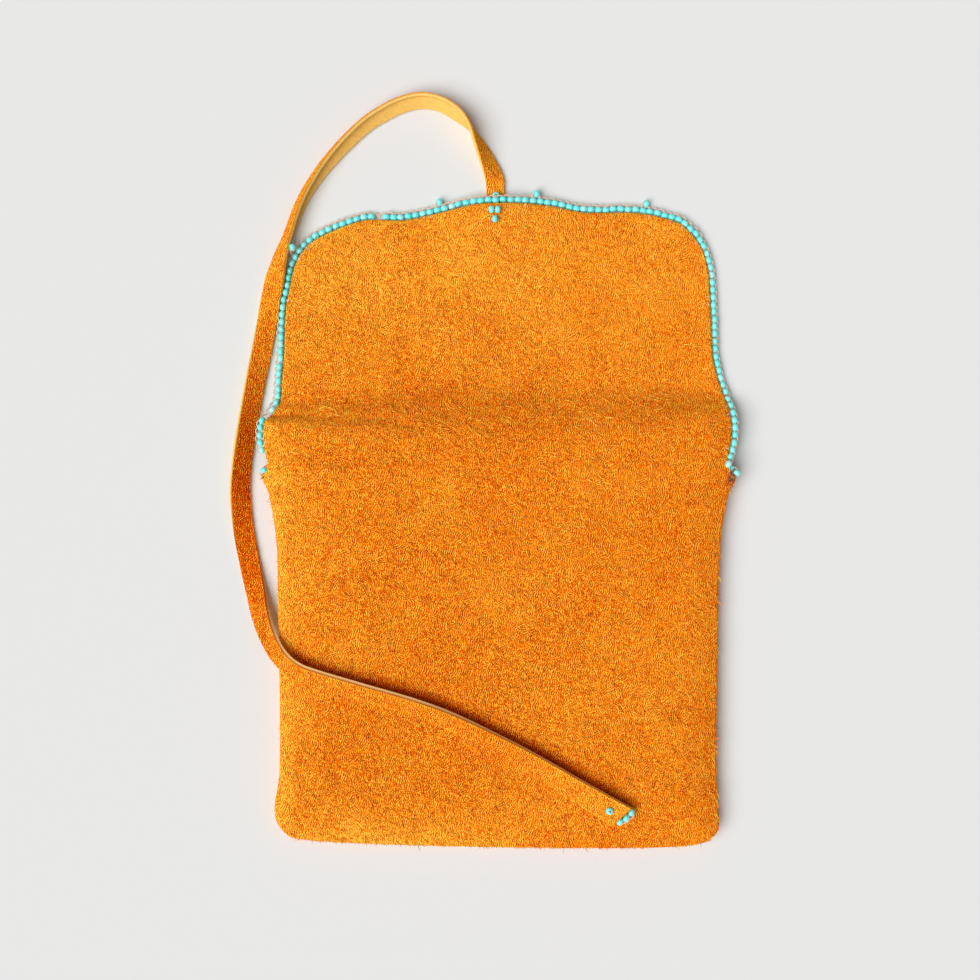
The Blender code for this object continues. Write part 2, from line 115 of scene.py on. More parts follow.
# Flap edging: the share of the edge that the solids' row takes, the share that is shown, and the
# places in plan of its missing and its paler beads
FLAP_BEADS_SPAN = (0.018, 0.992)
SHOWN_BEADS_SPAN = (0.0137, 0.991)
BARE_PLACES = np.array(((-35.7, 128.8), (-66.5, 70.1))) * MM
PALE_PLACES = np.array(((-65.0, 71.9), (-68.7, 60.0), (65.7, 55.2), (-13.6, 130.8))) * MM
# The beads that stand out beyond it: place along the edge and lean in degrees. The first of them
# rests on the tie.
PICOTS = ((0.239, 16.0), (0.422, 4.0), (0.5345, -5.0), (0.664, 8.0))
PICOT_SHIFTS = np.array(((0.9, 0.1, 3.7), (0, 0, 0), (0, 0, 0), (0, 0, 0))) * MM
PICOT_RISE = 0.35
PICOT_LOOP = 0.5 * MM
# How unevenly the beads sit, and how full their sides are: 1 is a ball's
BEAD_SCALE = (0.96, 1.03)
BEAD_TILT = 0.12
BEAD_DROOP = 0.12
BEAD_SHIFT = 0.06 * MM
BEAD_FULLNESS = 0.72
PALE_BEAD_TONE = 3
# The thread between the beads: its loops' height past the beads, and its stitches in the leather
LOOP_PEAK = (0.8 * MM, 1.3 * MM)
SLACK_LOOPS = 0.35
TIGHT_SIDE = 58.0 * MM
STITCHES_SHOWN = 0.24
STITCH_REACH = (0.8 * MM, 1.4 * MM)
STITCH_RISE = 0.55 * MM
STITCH_DEPTH = 0.15 * MM
# Frayed places at the mouth's corners: x, y, z in millimetres, and how many fibres
FRAYS = ((66.9, 52.2, 5.8, 34), (-66.9, 52.4, 5.7, 3))
FRAY_SPREAD = (0.5 * MM, 1.1 * MM, 0.15 * MM)
FRAY_RADIUS = 0.09 * MM
FRAY_LENGTH = (0.6, 1.5)
FRAY_LIFT = (0.1, 0.4)
# Where the flap's row of beads goes on past its end, on the leather beside the mouth
ROW_PAST_END = np.array(((66.5, 56.9, 6.0), (65.7, 55.0, 6.9))) * MM
# The mouth's row past its corners: out and up from the ends of the front panel's mouth edge, and
# how far each point of the row is raised
MOUTH_ROW_START = np.array(((0.1, 0.0), (2.5, 0.0))) * MM
MOUTH_ROW_END = np.array(((-5.0, 0.0), (-2.6, 0.9), (-0.7, 0.3), (0.5, -1.9))) * MM
MOUTH_ROW_RISE = np.array((7.8, 0.0, 0.0, 2.4, 4.6, 4.7)) * MM
# Beads at the tie's sewn end: across, and back from the leather's edge
ANCHOR_BEAD_ON_TIE = (-0.9 * MM, -2.35 * MM)
ANCHOR_BEADS_ON_FLAP = np.array(((-2.2, 2.1), (-0.35, 2.1), (-1.2, 4.8))) * MM
# Beads at its cut end: past the end, across, over the leather's middle, and which way the hole runs
TIE_BEADS = (
    (-3.7 * MM, -0.15 * MM, 1.75 * MM, "Z"),
    (0.95 * MM, 1.65 * MM, -0.2 * MM, "along"),
    (1.7 * MM, -0.45 * MM, 0.6 * MM, "along"),
    (2.1 * MM, -2.65 * MM, 0.6 * MM, "along"),
)

# The tie's route in millimetres, and its roll in degrees: x, y, z, roll
TIE_ROUTE = (
    (-1.0, 126.2, 0.6, 0), (-1.0, 136.3, 0.6, 0), (-1.6, 140.0, 1.6, 20),
    (-3.3, 144.1, 2.4, 42), (-6.1, 149.9, 2.9, 64), (-8.9, 154.4, 3.1, 86),
    (-12.7, 158.0, 3.1, 104), (-17.4, 160.7, 3.0, 115), (-22.9, 161.6, 2.9, 120),
    (-29.0, 160.2, 2.9, 120), (-34.2, 157.6, 2.9, 119), (-38.7, 154.7, 2.9, 118),
    (-44.4, 149.5, 2.9, 117), (-49.8, 143.6, 3.0, 113), (-54.1, 137.9, 3.0, 106),
    (-57.4, 132.3, 3.1, 96), (-59.8, 126.7, 3.1, 80), (-61.8, 121.0, 2.8, 58),
    (-63.8, 115.0, 2.2, 34), (-66.1, 106.4, 1.3, 12), (-67.7, 97.7, 0.8, 0),
    (-69.3, 89.0, 0.9, -5), (-71.0, 80.3, 1.1, -10), (-72.6, 71.6, 1.4, -15),
    (-74.1, 62.9, 1.5, -17), (-75.2, 54.2, 1.5, -17), (-75.5, 46.5, 1.4, -15),
    (-74.6, 37.0, 1.0, -8), (-73.0, 28.1, 0.9, 3), (-71.1, 19.4, 1.9, 22),
    (-69.0, 11.2, 4.1, 34), (-66.0, 4.3, 6.2, 34), (-62.5, -0.4, 7.9, 29),
    (-58.3, -3.5, 8.8, 24), (-52.8, -5.5, 9.4, 21), (-39.3, -9.4, 9.7, 18),
    (-24.9, -13.6, 9.7, 17), (-13.5, -17.9, 9.7, 17), (-1.2, -23.9, 9.6, 16),
    (10.6, -30.4, 9.6, 14), (22.6, -37.7, 9.5, 11), (34.7, -44.9, 9.1, 8),
)
# How the tie's section curls: place in the route, roll in degrees at its two edges, and where
# across the width, from -0.5 to 0.5, it bends from one roll to the other
TIE_CURL = (
    (0, 0, 0, 0.0), (1, 0, 0, 0.0), (2, 20, 20, 0.0), (3, 42, 40, 0.0),
    (4, 68, 62, 0.0), (5, 86, 96, -0.2), (6, 88, 128, -0.2), (8, 84, 146, -0.2),
    (10, 78, 150, -0.18), (12, 70, 150, -0.14), (13, 62, 150, -0.10), (14, 55, 150, -0.04),
    (15, 50, 150, 0.0), (16, 47, 150, 0.03), (17, 42, 145, 0.10), (18, 28, 120, 0.30),
    (19, 10, 30, 0.5), (20, 0, 0, 0.5), (22, -22, -22, 0.0), (24, -29, -29, 0.0),
    (25, -28, -28, 0.0), (26, -18, -18, 0.0), (27, -8, -8, 0.0), (28, 0, 0, -0.3),
    (29, 22, 12, -0.34), (30, 56, 20, -0.36), (31, 84, 22, -0.37), (32, 94, 22, -0.37),
    (33, 94, 22, -0.37), (34, 92, 24, -0.37), (35, 90, 26, -0.37), (36, 80, 27, -0.37),
    (37, 60, 27, -0.37), (38, 40, 27, -0.36), (39, 30, 26, -0.36), (40, 26, 23, -0.36),
    (41, 20, 18, -0.36),
)
# How much paler the tie's suede is than the rest along its length: place in the route, paleness
TIE_PALENESS = (
    (0, 0.12), (4, 0.18), (15, 0.10), (17, 0.18), (20, 0.06), (22, -0.12), (23.5, -0.35),
    (25.5, -0.50), (26.5, -0.34), (28, -0.22), (30, -0.06), (32, 0.06), (36, 0.04), (38.5, -0.04),
    (40, 0.10), (41, 0.20),
)
# How much the tie's cut edges take their brown colours, with painted shade, along its length
TIE_BROWN_SHADED_EDGE = ((0, 0.0), (26, 0.0), (28, 1.0), (37, 1.0), (39, 0.5), (41, 0.4))
# Painted highlight on the tie's lit outer rim: how far it takes its cut edge's colour: place, depth
TIE_RIM_HIGHLIGHT = ((16, 0.0), (18, 0.5), (20, 0.7), (24, 0.8), (26, 0.7), (27, 0.3), (28, 0.0))
CURL_WIDTH = 0.26
EDGE_ROUNDING = 0.12 * MM
# How deep in the leather its suede side ends and its rims begin
SUEDE_DEPTH = 0.015
RIM_DEPTH = 0.02

# What use has done to the leather: the height and the size of its waves, fine waves and rucks, and
# where on the flap's slope and how slanted the rucks are
WAVES = (0.40 * MM, 21 * MM)
FINE_WAVES = (0.13 * MM, 6.5 * MM)
RUCKS = (0.40 * MM, 2.6 * MM)
RUCKS_MIDDLE = 12 * MM
RUCKS_REACH = 9 * MM
RUCKS_SLANT = np.array([[0.42, 0.10], [0.16, 1.15]])
LOOSE_REACH = 5 * MM
# The fold at the left of the flap's slope: its line, depth, width and how fast it dies out, and
# the banks beside it as shares of its depth and width
CREASE = np.array([(-65.3, 69.3), (-62.1, 69.9), (-57.7, 69.6), (-49.0, 69.3), (-21.0, 68.2)]) * MM
CREASE_DEPTH = 1.8 * MM
CREASE_WIDTH = 0.85 * MM
CREASE_LENGTH = 11.0 * MM
BANK_HEIGHT = 0.35
BANK_PLACE = 2.6
BANK_WIDTH = 1.4

# How much paler the suede is made on the flap, at its right and with what gain to its left, and
# the painted light on the seam's rim and shoulder at the body's left, which face the light
PALE_FLAP = 0.17
PALE_RIGHT = 0.6
PALE_TO_LEFT = 0.8
PAINTED_RIM_LIGHT = 0.12
PAINTED_RIM_LIGHT_WIDTH = 1.5 * MM
PAINTED_SHOULDER_LIGHT = 0.20
PAINTED_SHOULDER_LIGHT_WIDTH = 9.0 * MM
# Painted shadow beside the tie's raised edge, darkest along this line: its course in millimetres
TIE_PAINTED_SHADOW = (
    (-59.0, 0.8), (-54.5, -2.3), (-44.0, -5.5), (-29.0, -9.2), (-14.0, -14.6), (0.0, -21.0),
    (14.0, -28.6), (26.0, -36.0), (36.5, -42.0),
)
TIE_PAINTED_SHADOW_DEPTH = 0.50
TIE_PAINTED_SHADOW_WIDTH = 1.9 * MM

# How far above the floor the lowest leather and fibres stay
FLOOR_GAP = 0.1 * MM

# The suede's loose fibres: how many, how they lie and lean, and how long and wide they are
BODY_NAP = 46000
FLAP_NAP = 34000
TIE_NAP = 9000
TIE_NAP_SIZE = 0.75
NAP_DIRECTION = math.radians(-60)
NAP_SWIRL = 1.6
NAP_SWIRL_SIZE = 13 * MM
NAP_CURL = 1.2
NAP_CURL_SIZE = 4 * MM
NAP_DISORDER = 0.65
NAP_LEAN = (6, 26)
NAP_LENGTH = (0.8 * MM, 1.6 * MM)
NAP_WIDTH = (0.055 * MM, 0.09 * MM)
NAP_BEND = 0.12
LONG_FIBRES = 0.09
LONG_FIBRE_TONE = 1.6
NAP_ROOT = 0.05 * MM

# Meshes: faces along and across the panels, round a turned seam, a bead, a thread and the tie
BODY_ROWS = 110
FLAP_ROWS = 77
COLUMNS = 126
TURN_STEPS = 8
SAMPLES_PER_POINT = 16
BEAD_SIDES = 18
BEAD_PROFILE = 14
THREAD_SIDES = 6
TIE_COLUMNS = 14
GUIDE_STEP = 6

# Worked out from the sizes above, as in the solids
TURN_RADIUS = (LEATHER + FOLD_GAP) / 2
FRONT_HEIGHT = LEATHER / 2
FRONT_ALLOWANCE_HEIGHT = FRONT_HEIGHT + 2 * TURN_RADIUS
BACK_ALLOWANCE_HEIGHT = FRONT_ALLOWANCE_HEIGHT + LEATHER + CLEARANCE
BACK_SEAM_HEIGHT = BACK_ALLOWANCE_HEIGHT + 2 * TURN_RADIUS
MOUTH_Y = POUCH_LENGTH / 2
FRONT_MOUTH_Y = MOUTH_Y * BODY_EDGE[0][1]
TIP_LIFT = LEATHER + 2 * CLEARANCE
FLAP_EDGE_HEIGHT = BEAD_DIAMETER / 2 + 0.03 * MM
BEAD_OFFSET = BEAD_LENGTH / 2 + CLEARANCE
BULGE_TILT = math.atan2(BULGE, BULGE_REACH)
BACK_RIM_INSET = TURN_RADIUS + LEATHER / 2 + TURN_RADIUS * math.sin(BULGE_TILT)
FRONT_RIM_INSET = TURN_RADIUS + LEATHER / 2


# Curves in plan


def smooth_path(points, first, last):
    """A dense smooth curve through all the points, cut from point first to point last."""
    points = np.array(points, float)
    before = 2 * points[0] - points[1]
    after = 2 * points[-1] - points[-2]
    padded = np.vstack([before, points, after])
    share = np.linspace(0, 1, SAMPLES_PER_POINT, endpoint=False)[:, None]
    stretches = []
    for start in range(first, last):
        a, b, c, d = padded[start : start + 4]
        bend = (2 * a - 5 * b + 4 * c - d) * share**2 + (3 * b - a - 3 * c + d) * share**3
        stretches.append(b + 0.5 * ((c - a) * share + bend))
    stretches.append(points[last][None, :])
    return np.vstack(stretches)


def lengths_along(path):
    steps = np.linalg.norm(np.diff(path[:, :2], axis=0), axis=1)
    return np.concatenate([[0.0], np.cumsum(steps)])


def at_lengths(path, lengths):
    along = lengths_along(path)
    return np.column_stack([np.interp(lengths, along, column) for column in path.T])


def at_shares(path, shares):
    return at_lengths(path, np.asarray(shares) * lengths_along(path)[-1])


def to_the_right(path):
    """Unit normals in plan, to the right of the way that a path runs."""
    along = np.gradient(path[:, :2], axis=0)
    normal = np.column_stack([along[:, 1], -along[:, 0]])
    return normal / np.linalg.norm(normal, axis=1, keepdims=True)


def even(count):
    return np.linspace(0, 1, count + 1)


def eased(share):
    return share * share * (3 - 2 * share)


def body_outline(first, last):
    size = (POUCH_WIDTH / 2, POUCH_LENGTH / 2)
    return smooth_path(np.array(BODY_EDGE) * size, first, last)


def flap_outline(first, last):
    size = (FLAP_WIDTH / 2, FLAP_LENGTH)
    return smooth_path(np.array(FLAP_EDGE) * size + (0, MOUTH_Y), first, last)


def flap_edges():
    """The flap's edge: left side going up, tip from left to right, and right side going up."""
    left_corner, right_corner = FLAP_CORNERS
    end = len(FLAP_EDGE) - 1
    left = at_shares(flap_outline(0, left_corner), even(FLAP_ROWS))
    top = at_shares(flap_outline(left_corner, right_corner), even(COLUMNS))
    right = at_shares(flap_outline(right_corner, end)[::-1], even(FLAP_ROWS))
    return left, top, right


def body_rim():
    """Outline points and outward normals down the left side, along the bottom and up the right."""
    left_corner, right_corner = BODY_CORNERS
    left = at_shares(body_outline(0, left_corner), even(BODY_ROWS))
    bottom = at_shares(body_outline(left_corner, right_corner), even(COLUMNS))
    right = at_shares(body_outline(right_corner, len(BODY_EDGE) - 1), even(BODY_ROWS))
    rim = np.vstack([left, bottom[1:], right[1:]])
    normals = to_the_right(rim)
    normals[0], normals[-1] = (-1, 0), (1, 0)
    return rim, normals


def coons_patch(left, right, bottom, top):
    """A grid of points between four edges, with rows from the bottom and columns from the left."""
    along = (lengths_along(left) + lengths_along(right)) / 2
    up = (along / along[-1])[:, None, None]
    across = even(COLUMNS)[None, :, None]
    sides = (1 - across) * left[:, None, :] + across * right[:, None, :]
    ends = (1 - up) * bottom[None, :, :] + up * top[None, :, :]
    low = (1 - across) * bottom[0] + across * bottom[-1]
    high = (1 - across) * top[0] + across * top[-1]
    return sides + ends - ((1 - up) * low + up * high)


def distance_to(line, points):
    """The distance in plan from each point to the nearest place on a line."""
    nearest = np.full(len(points), np.inf)
    for start, end in zip(line[:-1], line[1:]):
        step = end - start
        share = np.clip(((points - start) @ step) / max(step @ step, 1e-18), 0, 1)
        nearest = np.minimum(nearest, np.linalg.norm(points - start - share[:, None] * step, axis=1))
    return nearest


def noise_at(points, size, seed=0.0):
    """Smooth noise from -1 to 1 whose lumps are about size apart."""
    return np.array([noise.noise(Vector((x / size, y / size, seed))) for x, y in points[:, :2]])


# The panels' heights


def seam_guide(inset):
    """The seam's line in plan, carried straight on past the mouth at both ends."""
    rim, normals = body_rim()
    line = (rim - normals * inset)[::GUIDE_STEP]
    beyond = np.array([0, FLAP_LENGTH])
    return np.vstack([line[0] + beyond, line, line[-1] + beyond])


def across_flap(values, points):
    """A size that changes smoothly from the flap's left edge by its middle to its right edge."""
    left, middle, right = values
    place = np.clip(points[:, 0] / (FLAP_WIDTH / 2), -1, 1)
    return middle + (np.where(place < 0, left, right) - middle) * place**2


def back_height(points):
    """Height of the middle of the back panel's leather, over the body and along the flap."""
    from_seam = distance_to(SEAM_GUIDE, points)
    over_body = BACK_SEAM_HEIGHT + BULGE * (1 - np.exp(-from_seam / BULGE_REACH))
    past = points[:, 1] - MOUTH_Y - across_flap(DROP_MIDDLE, points)
    share = 1 - eased(np.clip(past / across_flap(DROP_LENGTH, points) + 0.5, 0, 1))
    from_tip = (MOUTH_Y + FLAP_LENGTH - points[:, 1]) / TIP_LIFT_LENGTH
    tip = TIP_LIFT * np.exp(-((points[:, 0] / TIP_LIFT_WIDTH) ** 2) - np.maximum(from_tip, 0) ** 2)
    height = FLAP_EDGE_HEIGHT + (over_body - FLAP_EDGE_HEIGHT) * share + tip
    return np.maximum(height + wear(points, from_seam), LEATHER / 2 + FLOOR_GAP)


def lumpy(points, lumps_wanted, seed):
    """Heights of lumps of a wanted height and size."""
    height, size = lumps_wanted
    return height * noise_at(points, size, seed)


def wear(points, from_seam):
    """What use has done to the leather: soft waves, small creases and the fold by the left edge."""
    loose = 1 - np.exp(-from_seam / LOOSE_REACH)
    waves = lumpy(points, WAVES, 1.3) + lumpy(points, FINE_WAVES, 5.1)
    on_slope = np.exp(-(((points[:, 1] - MOUTH_Y - RUCKS_MIDDLE) / RUCKS_REACH) ** 2))
    rucks = lumpy(points @ RUCKS_SLANT, RUCKS, 9.7) * on_slope
    beside = distance_to(CREASE, points)
    fading = np.exp(-np.maximum(points[:, 0] - CREASE[1][0], 0) / CREASE_LENGTH)
    groove = np.exp(-((beside / CREASE_WIDTH) ** 2))
    from_bank = (beside - BANK_PLACE * CREASE_WIDTH) / (BANK_WIDTH * CREASE_WIDTH)
    banks = BANK_HEIGHT * np.exp(-(from_bank ** 2))
    return (waves + rucks) * loose - CREASE_DEPTH * (groove - banks) * fading


# Meshes


def place_object(name, data):
    made = bpy.data.objects.new(name, data)
    bpy.context.scene.collection.objects.link(made)
    return made


def on_root(name, mesh):
    """A piece of the part, riding on its one body."""
    piece = place_object(name, mesh)
    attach(piece, "root")
    return piece


def grid_faces(rows, columns):
    wide = columns + 1
    row, column = np.divmod(np.arange(rows * columns), columns)
    corner = row * wide + column
    return np.column_stack([corner, corner + 1, corner + wide + 1, corner + wide]).tolist()


def rim_indices(columns, rows):
    """The grid's corners down its left side, along row 0 and up its right side, to row rows."""
    wide = columns + 1
    left = [row * wide for row in range(rows, -1, -1)]
    bottom = list(range(1, wide))
    right = [row * wide + columns for row in range(1, rows + 1)]
    return left + bottom + right


def turned_edge(points, faces, rim, allowance_height, side, tilt):
    """Adds the half turn round the seam, and the allowance that runs back in from it.

    side is 1 where the allowance lies under the panel and -1 where it lies over it, and tilt
    is the panel's slope where the turn starts.
    """
    line, normals = body_rim()
    centre = line - normals * (TURN_RADIUS + LEATHER / 2)
    middle = allowance_height + side * TURN_RADIUS
    rows = [list(rim)]
    for step in range(1, TURN_STEPS + 1):
        angle = math.pi / 2 + tilt - (math.pi + tilt) * step / TURN_STEPS
        place = centre + normals * TURN_RADIUS * math.cos(angle)
        height = middle + side * TURN_RADIUS * math.sin(angle)
        rows.append(add_points(points, place, height))
    for share in (0.5, 1.0):
        place = centre - normals * SEAM_ALLOWANCE * share
        rows.append(add_points(points, place, allowance_height))
    for upper, lower in zip(rows, rows[1:]):
        for i in range(len(rim) - 1):
            faces.append((upper[i], lower[i], lower[i + 1], upper[i + 1]))


def add_points(points, place, height):
    first = len(points)
    points.extend((x, y, height) for x, y in place)
    return list(range(first, len(points)))


def panel_edges(inset):
    """The seamed part of a panel: left side going up, right side going up, and bottom."""
    rim, normals = body_rim()
    line = rim - normals * inset
    left = line[: BODY_ROWS + 1][::-1]
    bottom = line[BODY_ROWS : BODY_ROWS + COLUMNS + 1]
    right = line[BODY_ROWS + COLUMNS :]
    return left, right, bottom


def add_piece(name, points, faces, material):
    """A smooth piece with consistent normals."""
    mesh = bpy.data.meshes.new(name)
    mesh.from_pydata([tuple(point) for point in points], [], faces)
    tidy = bmesh.new()
    tidy.from_mesh(mesh)
    bmesh.ops.recalc_face_normals(tidy, faces=tidy.faces)
    tidy.to_mesh(mesh)
    tidy.free()
    mesh.shade_smooth()
    mesh.set_sharp_from_angle(angle=math.radians(48))
    mesh.materials.append(material)
    return on_root(name, mesh)


def store(piece, name, values):
    """Keeps one number for each of the piece's points, for its material to read."""
    layer = piece.data.attributes.new(name, "FLOAT", "POINT")
    layer.data.foreach_set("value", np.asarray(values, np.float32))


def kept(piece, name):
    values = np.empty(len(piece.data.vertices), np.float32)
    piece.data.attributes[name].data.foreach_get("value", values)
    return values


def places_of(piece):
    places = np.empty(len(piece.data.vertices) * 3)
    piece.data.vertices.foreach_get("co", places)
    return places.reshape(-1, 3)


def leather_sheet(name, points, faces, material):
    """A sheet of leather round a surface through its middle."""
    sheet = add_piece(name, points, faces, material)
    thickness = sheet.modifiers.new("Thickness", "SOLIDIFY")
    thickness.thickness = LEATHER
    thickness.offset = 0
    thickness.use_even_offset = True
    solid = bpy.data.meshes.new_from_object(
        sheet.evaluated_get(bpy.context.evaluated_depsgraph_get())
    )
    sheet.modifiers.clear()
    sheet.data = solid
    return sheet


def back_panel(material):
    left, right, bottom = panel_edges(BACK_RIM_INSET)
    flap_left, top, flap_right = flap_edges()
    left = np.vstack([left, flap_left[1:]])
    right = np.vstack([right, flap_right[1:]])
    plan = coons_patch(left, right, bottom, top).reshape(-1, 2)
    points = list(zip(*plan.T, back_height(plan)))
    rim = rim_indices(COLUMNS, BODY_ROWS)
    seam_height = BACK_ALLOWANCE_HEIGHT + TURN_RADIUS * (1 + math.cos(BULGE_TILT))
    for index in rim:
        points[index] = (*points[index][:2], seam_height)
    faces = grid_faces(BODY_ROWS + FLAP_ROWS, COLUMNS)
    turned_edge(points, faces, rim, BACK_ALLOWANCE_HEIGHT, 1, BULGE_TILT)
    return leather_sheet("back_panel_suede", points, faces, material)


def paleness_with_painted_light(panel):
    """Paleness at each point: the paler flap, painted light on the body's left, painted shadow by the
    tie.
    """
    x, y, _ = places_of(panel).T
    along_flap = np.clip((y - MOUTH_Y - DROP_MIDDLE[1]) / (0.5 * FLAP_LENGTH), 0, 1)
    to_left = np.clip(0.5 - x / FLAP_WIDTH, 0, 1)
    seam = distance_to(SEAM_GUIDE, np.column_stack([x, y]))
    # Painted light: paler along the seam's rim and shoulder on the body's left, which face the light
    edge = PAINTED_RIM_LIGHT * np.exp(-seam / PAINTED_RIM_LIGHT_WIDTH) + PAINTED_SHOULDER_LIGHT * np.exp(-seam / PAINTED_SHOULDER_LIGHT_WIDTH)
    on_lit_left = np.clip(0.5 - x / (0.2 * POUCH_WIDTH), 0, 1) * (1 - along_flap)
    # Painted shadow: darker beside the tie's raised edge, where its shadow falls on the body
    from_tie_shadow_line = distance_to(np.array(TIE_PAINTED_SHADOW) * MM, np.column_stack([x, y]))
    shaded = TIE_PAINTED_SHADOW_DEPTH * np.exp(-((from_tie_shadow_line / TIE_PAINTED_SHADOW_WIDTH) ** 2))
    return PALE_FLAP * along_flap * (PALE_RIGHT + PALE_TO_LEFT * to_left) + edge * on_lit_left - shaded


def front_panel(material):
    left, right, bottom = panel_edges(FRONT_RIM_INSET)
    top = (1 - even(COLUMNS)[:, None]) * left[-1] + even(COLUMNS)[:, None] * right[-1]
    plan = coons_patch(left, right, bottom, top).reshape(-1, 2)
    rise = np.clip(1 - (FRONT_MOUTH_Y - plan[:, 1]) / MOUTH_RISE, 0, 1) ** 2
    height = FRONT_HEIGHT + (FLAP_EDGE_HEIGHT - FRONT_HEIGHT) * rise
    points = list(zip(*plan.T, height))
    faces = grid_faces(BODY_ROWS, COLUMNS)
    turned_edge(points, faces, rim_indices(COLUMNS, BODY_ROWS), FRONT_ALLOWANCE_HEIGHT, -1, 0)
    return leather_sheet("front_panel_suede", points, faces, material)


# Beads and their thread


class Parts:
    """Points, faces and one tone for each point, gathered for one piece."""

    def __init__(self):
        self.points, self.faces, self.tones = [], [], []

    def add(self, points, faces, tone=0.0):
        first = len(self.points)
        self.points.extend(points)
        self.faces.extend(tuple(first + i for i in face) for face in faces)
        self.tones.extend([tone] * len(points))

    def loop(self, start, peak, end, radius=THREAD_RADIUS, tone=0.0):
        """A thread from start to end that is drawn towards peak."""
        self.add(*thread(arc(start, peak, end), radius), tone)

    def piece(self, name, material, slot):
        made = add_piece(name, self.points, self.faces, material)
        store(made, "tone", self.tones)
        return made


def unit(vector):
    vector = np.array(vector, float)
    return vector / np.linalg.norm(vector)


def frame_round(axis):
    helper = (0, 0, 1.0) if abs(axis[2]) < 0.9 else (1.0, 0, 0)
    first = unit(np.cross(helper, axis))
    return first, np.cross(axis, first)


def bead(place, axis, scale=1.0):
    """A flattened ball round its hole."""
    outer, inner, half = BEAD_DIAMETER / 2 * scale, BEAD_HOLE / 2, BEAD_LENGTH / 2 * scale
    angle = np.linspace(-math.pi / 2, math.pi / 2, BEAD_PROFILE - 2)
    radius = inner + (outer - inner) * np.maximum(np.cos(angle), 0) ** BEAD_FULLNESS
    radius = np.concatenate([radius, (inner, inner)])
    along = np.concatenate([half * np.sin(angle), (half / 3, -half / 3)])
    axis = unit(axis)
    first, second = frame_round(axis)
    points, faces = [], []
    for side in range(BEAD_SIDES):
        turn = 2 * math.pi * side / BEAD_SIDES
        spoke = first * math.cos(turn) + second * math.sin(turn)
        points.extend(np.array(place) + spoke * r + axis * a for r, a in zip(radius, along))
        here = side * BEAD_PROFILE
        there = (side + 1) % BEAD_SIDES * BEAD_PROFILE
        for i in range(BEAD_PROFILE):
            j = (i + 1) % BEAD_PROFILE
            faces.append((here + i, here + j, there + j, there + i))
    return points, faces


def tube_faces(total, count):
    """The faces between a tube's rings, of count points each."""
    faces = []
    for start in range(0, total - count, count):
        for i in range(count):
            j = (i + 1) % count
            faces.append((start + i, start + j, start + count + j, start + count + i))
    return faces


def thread(path, radius):
    """A thin closed tube along a path."""
    path = np.array(path, float)
    ahead = np.gradient(path, axis=0)
    points = []
    for place, direction in zip(path, ahead):
        first, second = frame_round(unit(direction))
        for side in range(THREAD_SIDES):
            turn = 2 * math.pi * side / THREAD_SIDES
            points.append(place + (first * math.cos(turn) + second * math.sin(turn)) * radius)
    faces = tube_faces(len(points), THREAD_SIDES)
    faces.append(tuple(range(THREAD_SIDES)))
    faces.append(tuple(range(len(points) - THREAD_SIDES, len(points))))
    return points, faces


def arc(start, peak, end, steps=7):
    """A smooth curve from start to end that is drawn towards peak."""
    start, peak, end = (np.array(point, float) for point in (start, peak, end))
    share = np.linspace(0, 1, steps)[:, None]
    return (1 - share) ** 2 * start + 2 * share * (1 - share) * peak + share**2 * end


def flap_bead_path(span=FLAP_BEADS_SPAN):
    left, top, right = flap_edges()
    edge = np.vstack([left, top[1:], right[::-1][1:]])
    plan = edge - to_the_right(edge) * BEAD_OFFSET
    path = np.column_stack([plan, back_height(edge)])
    return at_shares(path, np.linspace(*span, 480))


def whole_flap_row():
    """The flap's row of beads with its last two, which lie on the leather beside the mouth."""
    return np.vstack([flap_bead_path(SHOWN_BEADS_SPAN), ROW_PAST_END])


def mouth_bead_path():
    """Straight along the front panel's mouth, and round its right corner."""
    row = FRONT_MOUTH_Y + BEAD_OFFSET
    left, right = BODY_EDGE[0][0] * POUCH_WIDTH / 2, BODY_EDGE[-1][0] * POUCH_WIDTH / 2
    plan = [(left + out, row + up) for out, up in MOUTH_ROW_START]
    plan += [(right + out, row + up) for out, up in MOUTH_ROW_END]
    return np.array([(x, y, FLAP_EDGE_HEIGHT + rise) for (x, y), rise in zip(plan, MOUTH_ROW_RISE)])


def nearest_of(places, wanted):
    """Indices of the places in plan that lie nearest to the wanted ones."""
    return {int(np.linalg.norm(places[:, :2] - point, axis=1).argmin()) for point in wanted}


